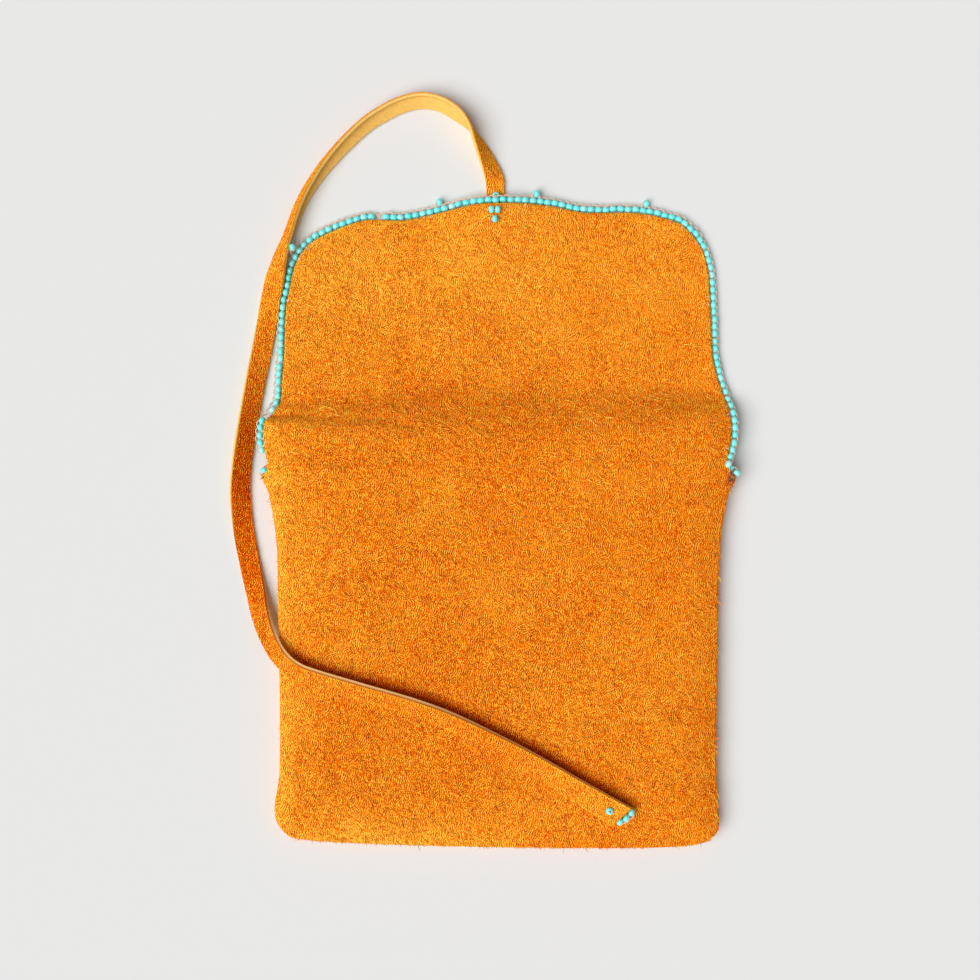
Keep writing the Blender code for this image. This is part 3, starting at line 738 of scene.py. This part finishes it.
def edging(solid, path, rng, bare=(), pale=()):
    """A row of beads with their holes across the path, and the thread that joins them."""
    length = lengths_along(path)[-1]
    count = round(length / BEAD_PITCH)
    places = at_shares(path, (np.arange(count) + 0.5) / count)
    outward = -to_the_right(places)
    bare, pale = nearest_of(places, bare), nearest_of(places, pale)
    beads, threads = Parts(), Parts()
    outer_ends, inner_ends = [], []
    for i, (place, (nx, ny)) in enumerate(zip(places, outward)):
        tilt = rng.normal(0, BEAD_TILT, 2)
        axis = unit((nx - ny * tilt[0], ny + nx * tilt[0], tilt[1] - BEAD_DROOP))
        place = place + rng.normal(0, BEAD_SHIFT, 3)
        place[2] = max(place[2], BEAD_DIAMETER / 2)
        if i not in bare:
            tone = rng.normal(0, 1) + (PALE_BEAD_TONE if i in pale else 0)
            beads.add(*bead(place, axis, rng.uniform(*BEAD_SCALE)), tone=tone)
        reach = (0.1 if i in bare else 0.5) * BEAD_LENGTH + 0.3 * THREAD_RADIUS
        outer_ends.append(place + axis * reach)
        inner_ends.append(place - axis * reach)
    for i in range(count - 1):
        out = np.array((*(outward[i] + outward[i + 1]) / 2, 0.3))
        tight = SLACK_LOOPS if places[i][0] > TIGHT_SIDE else 1.0
        peak = (outer_ends[i] + outer_ends[i + 1]) / 2 + out * rng.uniform(*LOOP_PEAK) * tight
        threads.loop(outer_ends[i], peak, outer_ends[i + 1])
    for inner, (nx, ny) in zip(inner_ends, outward):
        if rng.random() < STITCHES_SHOWN:
            stitch_in(threads, inner, np.array((-nx, -ny, 0.0)), rng)
    row = beads.piece(f"{solid}_glass", TURQUOISE, "turquoise_beads")
    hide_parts(solid)
    threads.piece(f"{solid.replace('beads', 'thread')}_glass", THREAD, "thread")


def stitch_in(threads, start, inward, rng):
    """One stitch from a bead's hole over the leather's edge and down into the leather."""
    end = start + inward * rng.uniform(*STITCH_REACH)
    end[2] = back_height(end[None, :2])[0] + LEATHER / 2 - STITCH_DEPTH
    peak = (start + end) / 2 + (0, 0, STITCH_RISE)
    threads.loop(start, peak, end)


def corner_frays(rng):
    """Loose fibres and ends of thread where the seams start at the mouth's corners."""
    frays = Parts()
    for x, y, z, count in FRAYS:
        for _ in range(count):
            start = np.array((x, y, z)) * MM + rng.normal(0, 1, 3) * FRAY_SPREAD
            turn = rng.uniform(0, 2 * math.pi)
            swing = np.array((math.cos(turn), math.sin(turn), 0.1)) * rng.uniform(*FRAY_LENGTH) * MM
            lift = (0, 0, rng.uniform(*FRAY_LIFT) * MM)
            end = start + swing
            frays.loop(start, start + swing / 2 + lift, end, FRAY_RADIUS, rng.normal(0, 1))
    frays.piece("mouth_corner_fray", FRAYED, "thread")


def single_bead(solid, place, axis):
    """A bead that is a piece of its own, in the place of its solid."""
    one = Parts()
    one.add(*bead(place, axis))
    piece = one.piece(f"{solid}_glass", TURQUOISE, "turquoise_beads")
    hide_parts(solid)
    return piece


def picot_beads():
    """Single beads that stand out beyond the flap's edging, each in a loop of thread."""
    path = flap_bead_path()
    stand_out = BEAD_LENGTH / 2 + BEAD_DIAMETER / 2 + CLEARANCE
    threads = Parts()
    for number, (share, lean) in enumerate(PICOTS, 1):
        place = at_shares(path, [share])[0]
        near = at_shares(path, [share - 0.002, share + 0.002])
        side = -to_the_right(near)[0]
        x, y = place[:2] + side * stand_out
        centre = np.array((x, y, max(place[2], BEAD_LENGTH / 2 + PICOT_LIFT)))
        centre = centre + PICOT_SHIFTS[number - 1]
        turn = math.radians(2 * lean + 10)
        along_row = np.array((-side[1], side[0], 0)) * math.cos(turn)
        axis = along_row + np.array((*side * math.sin(turn), PICOT_RISE))
        single_bead(f"picot_bead_{number}", centre, axis)
        for turn in (-1, 1):
            hole = centre + unit(axis) * turn * BEAD_LENGTH / 2
            foot = place + np.array((-side[1], side[0], 0)) * turn * BEAD_PITCH / 2
            foot = foot + np.array((side[0], side[1], 0.6)) * BEAD_LENGTH / 2
            peak = (hole + foot) / 2 + unit(axis) * turn * PICOT_LOOP
            threads.loop(hole, peak, foot)
    threads.piece("picot_thread", THREAD, "thread")


def anchor_beads():
    """One bead flat on the tie just past the edging, and three on edge on the flap's tip."""
    tip = MOUTH_Y + FLAP_LENGTH
    threads = Parts()
    x, back = ANCHOR_BEAD_ON_TIE
    tie_top = TIE_ROUTE[0][2] * MM + LEATHER / 2
    place = np.array((x, tip - back, tie_top + CLEARANCE + BEAD_LENGTH / 2))
    single_bead("anchor_bead_1", place, (0, 0, 1))
    top = place + (0, 0, BEAD_LENGTH / 2)
    threads.loop(top, top + (0, -1.0 * MM, 0.6 * MM), place + (0, -2.6 * MM, 0.4 * MM))
    for number, (x, back) in enumerate(ANCHOR_BEADS_ON_FLAP, 2):
        flap_top = back_height(np.array([(x, tip - back)]))[0] + LEATHER / 2
        place = np.array((x, tip - back, flap_top + 0.2 * CLEARANCE + BEAD_DIAMETER / 2))
        single_bead(f"anchor_bead_{number}", place, (1, 0, 0))
        for end in (-1, 1):
            hole = place + (end * BEAD_LENGTH / 2, 0, 0)
            foot = hole + (end * 0.2 * MM, -0.2 * MM, -BEAD_DIAMETER / 2)
            threads.loop(hole, hole + (end * 0.35 * MM, 0, 0), foot)
    threads.piece("anchor_thread", THREAD, "thread")


# The flat tie


def tie_stations():
    """Evenly spaced points, rolls and route places along the tie's smooth centre line."""
    route = np.array(TIE_ROUTE) * (MM, MM, MM, 1)
    route = np.column_stack([route, np.arange(len(route))])
    line = smooth_path(route, 0, len(route) - 1)
    steps = np.linalg.norm(np.diff(line[:, :3], axis=0), axis=1)
    along = np.concatenate([[0.0], np.cumsum(steps)])
    wanted = np.linspace(0, along[-1], round(along[-1] / TIE_STATION) + 1)
    return np.column_stack([np.interp(wanted, along, column) for column in line.T])


def at_place(table, place):
    """A table's values at a place in the tie's route, which its first column gives."""
    places, *columns = zip(*table)
    return [np.interp(place, places, column) for column in columns]


def tie_width(from_end):
    """The tie's width at a distance from its cut end: even, and wider towards that end."""
    share = max(0.0, 1 - from_end / TIE_WIDENING)
    sewn = np.clip((from_end - TIE_LENGTH) / TIE_START_REACH + 2, 0, 1)
    return TIE_WIDTH + (TIE_END_WIDTH - TIE_WIDTH) * share - (TIE_WIDTH - TIE_START_WIDTH) * sewn


def tie_section(width, roll, first_roll, last_roll, bend, z):
    """Middle of the leather across the width: offsets across and up, and the roll at each."""
    share = np.linspace(-0.5, 0.5, TIE_COLUMNS + 1)
    blend = eased(np.clip((share - bend) / CURL_WIDTH + 0.5, 0, 1))
    rolls = np.radians(first_roll + (last_roll - first_roll) * blend)
    between = (rolls[1:] + rolls[:-1]) / 2
    step = width / TIE_COLUMNS
    across = np.concatenate([[0.0], np.cumsum(np.cos(between) * step)])
    up = np.concatenate([[0.0], np.cumsum(-np.sin(between) * step)])
    across -= (across.max() + across.min()) / 2
    lowest = z - width / 2 * abs(math.sin(math.radians(roll)))
    up += max(lowest, (LEATHER + FLOOR_GAP) / 2) - up.min()
    return across, up, rolls


def tie_ring(place, across, section):
    """Points round the section, and how deep each lies between suede side, 0, and grain side, 1."""
    offsets, heights, rolls = section
    ring, depths = [], []
    up = np.array((0, 0, 1.0))
    base = np.array((place[0], place[1], 0.0))
    middle = [base + across * o + up * h for o, h in zip(offsets, heights)]
    faces = [up * math.cos(r) + across * math.sin(r) for r in rolls]
    sides = [across * math.cos(r) - up * math.sin(r) for r in rolls]
    for way in (1, -1):
        for point, face in zip(middle[::way], faces[::way]):
            ring.append(point + face * way * LEATHER / 2)
            depths.append(0.5 - 0.5 * way)
        edge = -1 if way == 1 else 0
        for level in (0.3 * way, 0.0, -0.3 * way):
            outward = sides[edge] * way * EDGE_ROUNDING
            ring.append(middle[edge] + faces[edge] * level * LEATHER + outward)
            depths.append(0.5 - level)
    return ring, depths


def tie():
    stations = tie_stations()
    ahead = np.gradient(stations[:, :3], axis=0)
    points, depths, pales, brown_shades, centres = [], [], [], [], []
    for number, (station, direction) in enumerate(zip(stations, ahead)):
        from_end = (len(stations) - 1 - number) * TIE_STATION
        across = unit(np.cross(direction, (0, 0, 1.0)))
        curl = at_place(TIE_CURL, station[4])
        section = tie_section(tie_width(from_end), station[3], *curl, station[2])
        ring, depth = tie_ring(station[:2], across, section)
        centres.append(np.mean(ring, axis=0))
        depth[0] = RIM_DEPTH
        # Painted highlight: where the rim faces the light, it takes the golden colours of its cut
        # edge
        for k in range(TIE_COLUMNS, TIE_COLUMNS + 4):
            depth[k] = max(depth[k], *at_place(TIE_RIM_HIGHLIGHT, station[4]), RIM_DEPTH)
        share = max(0.0, 1 - from_end / TIE_SLANT_REACH)
        for point in ring:
            over = (point - centres[-1]) @ across / TIE_END_WIDTH + 0.5
            points.append(point + unit(direction) * share * (TIE_END_REACH - TIE_END_SLANT * over))
        depths.extend(depth)
        # How much each point takes the brown edge colours with their painted shade
        brown_shades.extend(at_place(TIE_BROWN_SHADED_EDGE, station[4]) * len(ring))
        pales.extend(at_place(TIE_PALENESS, station[4]) * len(ring))
    count = len(ring)
    faces = tube_faces(len(points), count) + end_faces(0) + end_faces(len(points) - count)
    piece = add_piece("tie_leather", points, faces, TIE_LEATHER)
    store(piece, "depth", depths)
    store(piece, "pale", pales)
    store(piece, "brown_shade", brown_shades)
    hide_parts("tie")
    return piece, centres


def end_faces(first):
    """Closes the tie's end with a strip of faces between its suede side and its grain side."""
    wide = TIE_COLUMNS + 1
    suede = [first + i for i in range(wide)]
    grain = [first + wide + 3 + i for i in range(wide)][::-1]
    strip = [(suede[i], suede[i + 1], grain[i + 1], grain[i]) for i in range(TIE_COLUMNS)]
    last = [suede[-1], *(first + wide + i for i in range(3)), grain[-1]]
    start = [grain[0], *(first + 2 * wide + 3 + i for i in range(3)), suede[0]]
    return strip + [tuple(last), tuple(start)]


def tie_end_frame():
    stations = tie_stations()
    ahead = unit(stations[-1, :3] - stations[-6, :3])
    across = unit(np.cross(ahead, (0, 0, 1.0)))
    up = np.cross(across, ahead)
    roll = math.radians(stations[-1, 3])
    side = across * math.cos(roll) - up * math.sin(roll)
    face = up * math.cos(roll) + across * math.sin(roll)
    return stations[-1, :3], ahead, side, face


def tie_beads():
    place, ahead, side, face = tie_end_frame()
    pieces, threads = [], Parts()
    for number, (past, across, over, axis) in enumerate(TIE_BEADS, 1):
        centre = place + ahead * past + side * across + face * over
        hole = face if axis == "Z" else ahead
        pieces.append(single_bead(f"tie_bead_{number}", centre, hole))
        far = centre + hole * BEAD_LENGTH / 2
        if axis == "Z":
            foot = centre + side * 1.3 * MM - ahead * 0.4 * MM - face * 0.9 * MM
            threads.loop(far, far + face * 0.5 * MM, foot)
        elif number in (2, len(TIE_BEADS)):
            back = centre - hole * BEAD_LENGTH / 2
            foot = back - ahead * 0.9 * MM - face * 0.1 * MM
            threads.loop(back, back - ahead * 0.4 * MM + face * 0.3 * MM, foot)
    ends = [place + ahead * (past + 0.55 * BEAD_LENGTH) + side * across + face * over
            for past, across, over, axis in TIE_BEADS if axis == "along"]
    for one, other in zip(ends, ends[1:]):
        threads.loop(one, (one + other) / 2 + ahead * 0.9 * MM, other)
    pieces.append(threads.piece("tie_thread", THREAD, "thread"))
    return pieces


# The suede's nap


def nap(name, source, count, rng, wanted, size=1.0):
    """Short loose fibres lying on the wanted faces of a piece."""
    mesh = source.data
    mesh.calc_loop_triangles()
    corners = np.empty(len(mesh.loop_triangles) * 3, np.int64)
    mesh.loop_triangles.foreach_get("vertices", corners)
    corners = corners.reshape(-1, 3)
    triangles = places_of(source)[corners]
    chosen = wanted(triangles, corners)
    triangles, corners = triangles[chosen], corners[chosen]
    one, two, three = triangles[:, 0], triangles[:, 1], triangles[:, 2]
    normals = np.cross(two - one, three - one)
    areas = np.linalg.norm(normals, axis=1)
    chosen = rng.choice(len(areas), count, p=areas / areas.sum())
    normals = normals[chosen] / areas[chosen, None]
    u, v = rng.random((2, count, 1))
    flip = u + v > 1
    u, v = np.where(flip, 1 - u, u), np.where(flip, 1 - v, v)
    base = one[chosen] + u * (two - one)[chosen] + v * (three - one)[chosen]

    swirl = noise_at(base, NAP_SWIRL_SIZE, 3.3) * NAP_SWIRL
    swirl += noise_at(base, NAP_CURL_SIZE, 8.8) * NAP_CURL
    turn = NAP_DIRECTION + swirl + rng.normal(0, NAP_DISORDER, count)
    heading = np.column_stack([np.cos(turn), np.sin(turn), np.zeros(count)])
    heading -= normals * (heading * normals).sum(1, keepdims=True)
    heading /= np.maximum(np.linalg.norm(heading, axis=1, keepdims=True), 1e-9)
    sideways = np.cross(normals, heading)
    lift = np.radians(rng.uniform(*NAP_LEAN, count))[:, None]
    steepness = np.clip(1.6 * normals[:, 2:] - 0.4, 0.25, 1)
    long_ones = rng.random(count) < LONG_FIBRES
    length = size * rng.uniform(*NAP_LENGTH, (count, 1)) * steepness * (1 + long_ones[:, None])
    width = rng.uniform(*NAP_WIDTH, (count, 1))
    foot = base - normals * NAP_ROOT
    tip = base + (heading * np.cos(lift) + normals * np.sin(lift)) * length
    bend = sideways * length * rng.normal(0, NAP_BEND, (count, 1))
    points = np.stack([
        foot - sideways * width,
        foot + sideways * width,
        base + heading * length * 0.3 + normals * (np.sin(lift) * length * 0.5 + width),
        tip + bend,
    ], axis=1).reshape(-1, 3)
    points[:, 2] = np.maximum(points[:, 2], FLOOR_GAP)
    first = np.arange(count)[:, None] * 4
    spikes = np.array([(0, 1, 2), (1, 3, 2), (3, 0, 2), (0, 3, 1)])
    faces = (first[:, :, None] + spikes[None]).reshape(-1, 3)
    fibres_mesh = bpy.data.meshes.new(name)
    fibres_mesh.from_pydata(points.tolist(), [], faces.tolist())
    fibres_mesh.materials.append(SUEDE)
    piece = on_root(name, fibres_mesh)
    store(piece, "tone", np.repeat(rng.normal(0.3, 1, count) + LONG_FIBRE_TONE * long_ones, 4))
    # The fibres take the paleness of the leather under them, painted light and shadow included
    store(piece, "pale", np.repeat(kept(source, "pale")[corners[chosen, 0]], 4))
    return piece


def facing_up(triangles):
    normals = np.cross(triangles[:, 1] - triangles[:, 0], triangles[:, 2] - triangles[:, 0])
    return normals[:, 2] > 0


def outside_of_body(triangles, corners):
    """True for the upper and outer faces of the back panel below the mouth."""
    above_seam = triangles[:, :, 2].mean(1) > BACK_ALLOWANCE_HEIGHT
    return facing_up(triangles) & above_seam & (triangles[:, :, 1].mean(1) <= MOUTH_Y)


def outside_of_flap(triangles, corners):
    """True for the upper faces of the back panel past the mouth."""
    return facing_up(triangles) & (triangles[:, :, 1].mean(1) > MOUTH_Y)


def suede_side_of(piece):
    """Tells the faces on the tie's suede side from its edges and its grain side."""
    depths = kept(piece, "depth")
    return lambda triangles, corners: (depths[corners] < SUEDE_DEPTH).all(1)


# Materials


def node(tree, kind, inputs=None, **settings):
    """A shader node. An input is a number, a colour or another node's output."""
    made = tree.nodes.new("ShaderNode" + kind)
    for key, value in settings.items():
        setattr(made, key, value)
    for key, value in (inputs or {}).items():
        if isinstance(value, bpy.types.NodeSocket):
            tree.links.new(value, made.inputs[key])
        else:
            made.inputs[key].default_value = value
    return made


def new_material(name):
    made = bpy.data.materials.new(name)
    made.use_nodes = True
    return made, made.node_tree, made.node_tree.nodes["Principled BSDF"]


def stored(tree, name):
    """A number that the piece keeps for each of its points."""
    return node(tree, "Attribute", attribute_name=name).outputs["Fac"]


def set_inputs(shader, values):
    for name, value in values.items():
        shader.inputs[name].default_value = value


def roughen(tree, shader, height, strength, distance):
    inputs = {"Strength": strength, "Distance": distance, "Height": height}
    tree.links.new(node(tree, "Bump", inputs).outputs["Normal"], shader.inputs["Normal"])


def ramp(tree, factor, stops):
    """A colour ramp through (position, colour) stops."""
    made = node(tree, "ValToRGB", {"Fac": factor})
    elements = made.color_ramp.elements
    while len(elements) < len(stops):
        elements.new(0.5)
    for element, (position, colour) in zip(elements, stops):
        element.position = position
        element.color = (*colour, 1)
    return made.outputs["Color"]


def math_node(tree, operation, first, second=0.0):
    made = node(tree, "Math", {0: first, 1: second}, operation=operation)
    return made.outputs[0]


def add_up(tree, terms):
    """The sum of (output, weight) terms."""
    total = 0.0
    for output, weight in terms:
        total = math_node(tree, "ADD", math_node(tree, "MULTIPLY", output, weight), total)
    return total


def mix(tree, factor, first, second, **settings):
    inputs = {"Factor": factor, "A": first, "B": second}
    return node(tree, "Mix", inputs, data_type="RGBA", **settings).outputs["Result"]


def coordinates(tree):
    """The piece's own coordinates in millimetres."""
    own = node(tree, "TexCoord").outputs["Object"]
    scaled = node(tree, "VectorMath", {0: own, "Scale": 1 / MM}, operation="SCALE")
    return scaled.outputs[0]


def lumps(tree, where, size, detail=2.0, roughness=0.5):
    """Noise from 0 to 1 with lumps of about this size in millimetres."""
    inputs = {"Vector": where, "Scale": 1 / size, "Detail": detail, "Roughness": roughness}
    return node(tree, "TexNoise", inputs).outputs["Fac"]


def fibres(tree, where, size, fineness, turn, turning):
    """Short streaks, about size long in millimetres, whose direction wanders."""
    wander = math_node(tree, "MULTIPLY", lumps(tree, where, WANDER_SIZE), turning)
    inputs = {
        "Vector": where, "Scale": 1 / size, "Frequency": fineness, "Anisotropy": 1.0,
        "Orientation": math_node(tree, "ADD", wander, turn),
    }
    return node(tree, "TexGabor", inputs, gabor_type="2D").outputs["Value"]


# The suede's streaks: size in millimetres, fineness, direction and how much it wanders
STREAKS = (1.5, 2.6, 0.4, 5.0)
CROSS_STREAKS = (1.2, 2.2, 1.7, -4.0)
WANDER_SIZE = 5.0
# Its lumps in millimetres
FINE_SIZE = 0.30
PATCH_SIZE = 2.2
CLOUD_SIZE = 17.0
# How much each of them, a fibre's own tone and the paleness, painted light and shadow included,
# count in its shade
HEIGHT_WEIGHT = 3.68
PATCH_WEIGHT = 0.07
CLOUD_WEIGHT = 0.21
TONE_WEIGHT = 0.12
PALE_AND_PAINTED_LIGHT_WEIGHT = 0.62
SHADE_START = 1.47
# Its colours from the darkest to the palest shade
SUEDE_STOPS = (
    (0.08, (0.36, 0.020, 0.0)),
    (0.21, (0.60, 0.045, 0.0)),
    (0.34, (0.83, 0.108, 0.0)),
    (0.44, (0.97, 0.190, 0.0)),
    (0.54, (1.00, 0.278, 0.002)),
    (0.64, (1.00, 0.382, 0.012)),
    (0.77, (1.00, 0.530, 0.045)),
    (0.92, (1.00, 0.690, 0.090)),
)


def suede_colour(tree, where):
    """Colour of the nap, and its height from 0 to 1."""
    streaks = fibres(tree, where, *STREAKS)
    crossing = fibres(tree, where, *CROSS_STREAKS)
    fine = lumps(tree, where, FINE_SIZE, 0.0)
    height = add_up(tree, [(streaks, 0.36), (crossing, 0.30), (fine, 0.34)])
    shade = add_up(tree, [
        (height, HEIGHT_WEIGHT),
        (lumps(tree, where, PATCH_SIZE), PATCH_WEIGHT),
        (lumps(tree, where, CLOUD_SIZE), CLOUD_WEIGHT),
        (stored(tree, "tone"), TONE_WEIGHT),
        (stored(tree, "pale"), PALE_AND_PAINTED_LIGHT_WEIGHT),
    ])
    shade = math_node(tree, "SUBTRACT", shade, SHADE_START)
    return ramp(tree, shade, SUEDE_STOPS), height


def finish_suede(tree, shader, colour, height):
    tree.links.new(colour, shader.inputs["Base Color"])
    roughen(tree, shader, height, 0.2, 0.25 * MM)
    set_inputs(shader, {
        "Roughness": 0.95, "Specular IOR Level": 0.0, "Sheen Weight": 0.12,
        "Sheen Roughness": 0.5, "Sheen Tint": (1.0, 0.60, 0.10, 1),
    })


def suede_material():
    made, tree, shader = new_material("suede_nap")
    colour, height = suede_colour(tree, coordinates(tree))
    finish_suede(tree, shader, colour, height)
    return made


# Colours through the tie's leather, from its suede side, 0, to its grain side, 1: where its cut edge
# is pale, and where it is brown with bands of painted shade beside the suede and across its middle
GOLDEN_EDGE = (
    (0.00, (0.84, 0.200, 0.006)),
    (0.15, (0.80, 0.240, 0.020)),
    (0.40, (1.00, 0.620, 0.170)),
    (0.80, (1.00, 0.690, 0.230)),
    (1.00, (0.97, 0.580, 0.150)),
)
BROWN_SHADED_EDGE = (
    (0.00, (0.84, 0.200, 0.006)),
    (0.14, (0.34, 0.070, 0.008)),
    (0.30, (0.36, 0.080, 0.010)),
    (0.44, (0.80, 0.370, 0.150)),
    (0.56, (0.62, 0.260, 0.095)),
    (0.70, (0.98, 0.560, 0.240)),
    (0.86, (1.00, 0.640, 0.260)),
    (1.00, (0.97, 0.580, 0.150)),
)


def tie_material():
    """Suede on one side, smooth tan grain on the other, and the leather's layers at its cut edges."""
    made, tree, shader = new_material("tie_leather")
    where = coordinates(tree)
    colour, height = suede_colour(tree, where)
    depth = stored(tree, "depth")
    # Brown cut edges with painted shade where the tie runs over the body, and golden ones elsewhere
    edges = (ramp(tree, depth, stops) for stops in (GOLDEN_EDGE, BROWN_SHADED_EDGE))
    layers = mix(tree, stored(tree, "brown_shade"), *edges)
    streaks = lumps(tree, where, 0.8, 4.0, 0.65)
    shaded = ramp(tree, streaks, ((0.25, (0.80, 0.78, 0.72)), (0.7, (1.06, 1.05, 1.0))))
    grain = mix(tree, 1.0, layers, shaded, blend_type="MULTIPLY")
    past_suede = node(tree, "MapRange", {"Value": depth, "From Min": RIM_DEPTH, "From Max": 0.2})
    mixed = mix(tree, past_suede.outputs[0], colour, grain)
    finish_suede(tree, shader, mixed, height)
    return made


def bead_material():
    made, tree, shader = new_material("turquoise_glass")
    cloudy = lumps(tree, coordinates(tree), 0.9)
    shade = add_up(tree, [(stored(tree, "tone"), 0.16), (cloudy, 0.5)])
    stops = ((0.0, (0.16, 0.96, 0.95)), (0.35, (0.25, 1.00, 0.98)), (0.8, (0.50, 1.00, 1.00)))
    tree.links.new(ramp(tree, shade, stops), shader.inputs["Base Color"])
    set_inputs(shader, {
        "Roughness": 0.28, "Coat Weight": 0.4, "Coat Roughness": 0.05, "Subsurface Weight": 0.5,
        "Subsurface Radius": (0.4, 0.7, 0.7), "Subsurface Scale": 0.5 * MM,
    })
    return made


def thread_material():
    made, tree, shader = new_material("peach_thread")
    twist = lumps(tree, coordinates(tree), 0.22)
    stops = ((0.3, (0.74, 0.40, 0.28)), (0.65, (0.98, 0.69, 0.52)))
    tree.links.new(ramp(tree, twist, stops), shader.inputs["Base Color"])
    roughen(tree, shader, twist, 0.4, 0.05 * MM)
    set_inputs(shader, {"Roughness": 0.6})
    return made


def frayed_material():
    made, tree, shader = new_material("frayed_fibre")
    fuzz = lumps(tree, coordinates(tree), 0.4)
    shade = add_up(tree, [(stored(tree, "tone"), 0.22), (fuzz, 1.0)])
    stops = ((0.2, (0.10, 0.028, 0.010)), (0.6, (0.34, 0.115, 0.050)), (1.0, (0.86, 0.50, 0.36)))
    tree.links.new(ramp(tree, shade, stops), shader.inputs["Base Color"])
    set_inputs(shader, {"Roughness": 0.85})
    return made


def floor_material():
    made, _, shader = new_material("pale_floor")
    set_inputs(shader, {"Base Color": (0.80, 0.80, 0.79, 1), "Roughness": 0.9})
    return made


# Camera and light

CAMERA_HEIGHT = 0.42
VIEW_MIDDLE = (-0.0026, 0.0484)
VIEW_WIDTH = 0.2842
VIEW_LEVEL = 0.004
SENSOR = 36.0
SUN_SHARE = 0.78
SUN_ELEVATION = math.radians(54)
SUN_FROM = math.radians(212)
SUN_SPREAD = math.radians(54)
SKY_SHOWN = 0.80
FLOOR_SIZE = 3.0


def camera():
    data = bpy.data.cameras.new("camera")
    data.sensor_width = SENSOR
    data.lens = SENSOR * (CAMERA_HEIGHT - VIEW_LEVEL) / VIEW_WIDTH
    made = place_object("camera", data)
    made.location = (*VIEW_MIDDLE, CAMERA_HEIGHT)
    bpy.context.scene.camera = made


def light():
    """A soft sun from the lower left and an even sky, which together light a level face by 1.

    The camera and the gloss see the sky as pale as the floor.
    """
    data = bpy.data.lights.new("soft_sun", "SUN")
    data.energy = SUN_SHARE * math.pi / math.sin(SUN_ELEVATION)
    data.angle = SUN_SPREAD
    place_object("soft_sun", data).rotation_euler = (0, math.pi / 2 - SUN_ELEVATION, SUN_FROM)
    world = bpy.data.worlds.new("sky")
    bpy.context.scene.world = world
    world.use_nodes = True
    tree = world.node_tree
    background = tree.nodes["Background"]
    background.inputs["Color"].default_value = (1, 1, 1, 1)
    rays = node(tree, "LightPath").outputs
    shown = math_node(tree, "MAXIMUM", rays["Is Camera Ray"], rays["Is Glossy Ray"])
    shown = math_node(tree, "MAXIMUM", shown, rays["Is Transmission Ray"])
    paler = math_node(tree, "MULTIPLY", shown, SKY_SHOWN - (1 - SUN_SHARE))
    strength = math_node(tree, "ADD", paler, 1 - SUN_SHARE)
    tree.links.new(strength, background.inputs["Strength"])


def floor():
    half = FLOOR_SIZE / 2
    mesh = bpy.data.meshes.new("floor")
    corners = [(-half, -half, 0), (half, -half, 0), (half, half, 0), (-half, half, 0)]
    mesh.from_pydata(corners, [], [(0, 1, 2, 3)])
    mesh.materials.append(floor_material())
    place_object("floor", mesh)


camera()
light()
floor()
bpy.context.scene.view_settings.view_transform = "Standard"

SUEDE = suede_material()
TIE_LEATHER = tie_material()
TURQUOISE = bead_material()
THREAD = thread_material()
FRAYED = frayed_material()
SEAM_GUIDE = seam_guide(BACK_RIM_INSET)

rng = np.random.default_rng(SEED)
tie_piece, tie_centres = tie()
on_tie = tie_beads()

back = back_panel(SUEDE)
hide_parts("back_panel")
# The back panel's paleness, with painted light and painted shadow in it
store(back, "pale", paleness_with_painted_light(back))
front = front_panel(SUEDE)
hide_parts("front_panel")

edging("flap_edge_beads", whole_flap_row(), rng, BARE_PLACES, PALE_PLACES)
edging("mouth_edge_beads", mouth_bead_path(), rng)
picot_beads()
anchor_beads()
corner_frays(rng)

body_nap = nap("back_panel_nap", back, BODY_NAP, rng, outside_of_body)
flap_nap = nap("flap_nap", back, FLAP_NAP, rng, outside_of_flap)
tie_nap = nap("tie_nap", tie_piece, TIE_NAP, rng, suede_side_of(tie_piece), TIE_NAP_SIZE)
